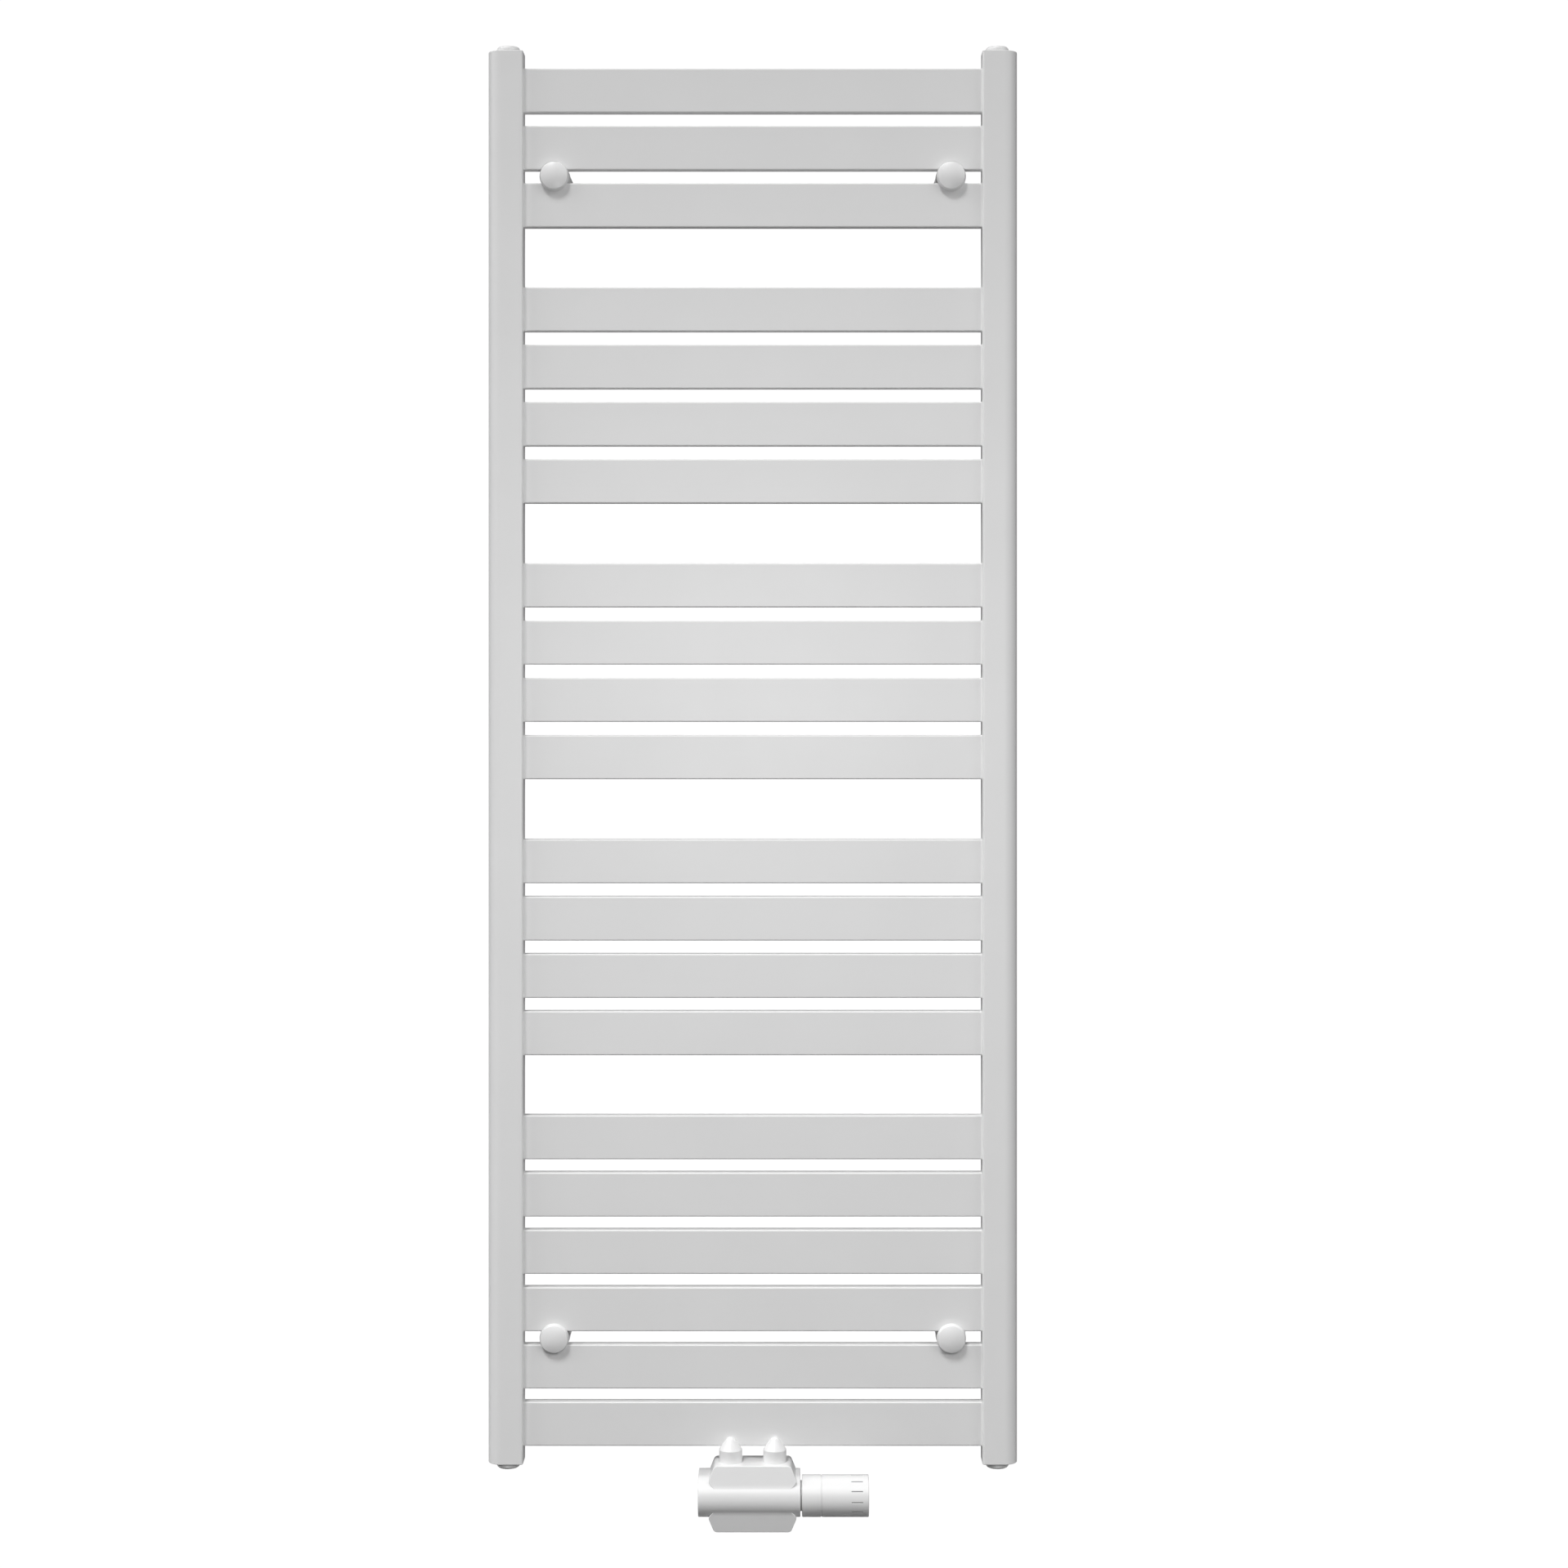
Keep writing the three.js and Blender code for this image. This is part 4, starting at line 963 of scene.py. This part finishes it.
class RADIATOR_OT_stage(bpy.types.Operator):
    """Pale floor, soft studio light and the camera"""

    bl_idname = "radiator.stage"
    bl_label = "Studio"

    def execute(self, context):
        studio = context.scene.studio_settings
        self.camera(context, studio)
        self.lights(studio)
        self.background(context, studio)
        self.floor(studio)
        context.scene.view_settings.view_transform = "Standard"
        return {"FINISHED"}

    @staticmethod
    def camera(context, studio):
        data = bpy.data.cameras.new("studio_camera")
        data.sensor_width, data.lens = 36.0, studio.lens
        data.shift_y = studio.shift
        data.clip_end = 50
        camera = bpy.data.objects.new("studio_camera", data)
        front = corners("collector_left")[0][1]
        camera.location = (studio.aside, front - studio.distance, studio.above)
        camera.rotation_euler = (math.pi / 2, 0, 0)
        context.scene.collection.objects.link(camera)
        context.scene.camera = camera

    @staticmethod
    def light(name, kind, location, aim, **values):
        data = bpy.data.lights.new(name, kind)
        for key, value in values.items():
            setattr(data, key, value)
        lamp = bpy.data.objects.new(name, data)
        lamp.location = location
        way = np.array(aim, float) - np.array(location, float)
        lamp.rotation_euler = (
            math.atan2(math.hypot(way[0], way[1]), -way[2]), 0, math.atan2(way[1], way[0]) - math.pi / 2
        )
        bpy.context.scene.collection.objects.link(lamp)
        return lamp

    def lights(self, studio):
        """Four suns, placed by degrees to the right of straight ahead and degrees above level, each
        with the width of its disc in degrees; and a round panel straight before the middle."""
        for name, energy, aside, rise, spread in (
            ("key_light", studio.key, -27, 57, 16),
            ("fill_light", studio.fill, 50, 30, 40),
            ("side_light", studio.side, -80, 34, 40),
            ("back_light", studio.back, 180, -4, 8),
        ):
            aside, rise = math.radians(aside), math.radians(rise)
            away = 3  # metres; a sun's distance makes no difference to its light
            level = away * math.cos(rise)
            spot = (level * math.sin(aside), -level * math.cos(aside), away * math.sin(rise))
            lamp = self.light(name, "SUN", spot, (0, 0, 0), energy=energy, angle=math.radians(spread))
            lamp.visible_glossy = name != "back_light"
        ahead, height = 1.3, 0.08
        self.light(
            "front_panel", "AREA", (0, -ahead, height), (0, 0, height),
            energy=studio.panel, shape="DISK", size=0.5,
        )

    @staticmethod
    def background(context, studio):
        """Plain white where the camera looks past the object; for light, a soft white dome.

        The dome is white above the horizon and dark below it, and brighter on the right: its
        strength rises along a line from left to right.
        """
        world = context.scene.world or bpy.data.worlds.new("studio")
        context.scene.world = world
        world.use_nodes = True
        tree = world.node_tree
        tree.nodes.clear()

        def node(kind, **inputs):
            return add_node(tree, "ShaderNode" + kind, **inputs)

        way = node("SeparateXYZ", Vector=node("TexCoord").outputs["Generated"])
        rise = node("MapRange", Value=way.outputs["Z"], From_Min=-studio.horizon, From_Max=studio.horizon)
        rise.interpolation_type = "SMOOTHSTEP"
        rise.inputs["To Min"].default_value = studio.ground
        rise.inputs["To Max"].default_value = studio.sky
        lean = node("MapRange", Value=way.outputs["X"], From_Min=-1.0, From_Max=1.0)
        lean.inputs["To Min"].default_value = 1 - studio.lean
        lean.inputs["To Max"].default_value = 1 + studio.lean
        power = node("Math")
        power.operation = "MULTIPLY"
        tree.links.new(rise.outputs[0], power.inputs[0])
        tree.links.new(lean.outputs[0], power.inputs[1])
        lit = node("Background", Color=(1, 1, 1, 1), Strength=power.outputs[0])
        seen = node("Background", Color=(1, 1, 1, 1), Strength=1.05)
        mix = node("MixShader", Fac=node("LightPath").outputs["Is Camera Ray"])
        tree.links.new(lit.outputs[0], mix.inputs[1])
        tree.links.new(seen.outputs[0], mix.inputs[2])
        node("OutputWorld", Surface=mix.outputs[0])

    @staticmethod
    def floor(studio):
        """A plane in front of and under the radiator, ending a little behind the wall it hangs on."""
        ground = CAD_BOX[0][2] - studio.floor_drop
        side, front, back = 2.6, -4.2, 0.25
        outline = [(-side, front), (side, front), (side, back), (-side, back)]
        mesh = bpy.data.meshes.new("studio_floor")
        mesh.from_pydata([(x, y, ground) for x, y in outline], [], [(0, 1, 2, 3)])
        plane = add_object("studio_floor", mesh, material("floor"))
        plane.visible_diffuse = False


class RADIATOR_PT_panel(bpy.types.Panel):
    """Lists the radiator's pieces in the sidebar"""

    bl_idname = "RADIATOR_PT_panel"
    bl_label = "Towel radiator"
    bl_space_type = "VIEW_3D"
    bl_region_type = "UI"
    bl_category = "Radiator"

    def draw(self, context):
        for operator in OPERATORS:
            self.layout.operator(operator.bl_idname)


OPERATORS = (
    RADIATOR_OT_stage,
    RADIATOR_OT_collectors,
    RADIATOR_OT_rails,
    RADIATOR_OT_plugs,
    RADIATOR_OT_brackets,
    RADIATOR_OT_bosses,
    RADIATOR_OT_valve_body,
    RADIATOR_OT_cover,
    RADIATOR_OT_head,
)
SETTINGS = {
    "radiator_shape": RadiatorShape,
    "radiator_finish": RadiatorFinish,
    "studio_settings": StudioSettings,
}
CLASSES = (*SETTINGS.values(), *OPERATORS, RADIATOR_PT_panel)


def register():
    for cls in CLASSES:
        bpy.utils.register_class(cls)
    for name, cls in SETTINGS.items():
        setattr(bpy.types.Scene, name, PointerProperty(type=cls))


def unregister():
    for name in SETTINGS:
        delattr(bpy.types.Scene, name)
    for cls in reversed(CLASSES):
        bpy.utils.unregister_class(cls)


def main():
    register()
    for operator in OPERATORS:
        group, name = operator.bl_idname.split(".")
        getattr(getattr(bpy.ops, group), name)()


if __name__ == "__main__":
    main()
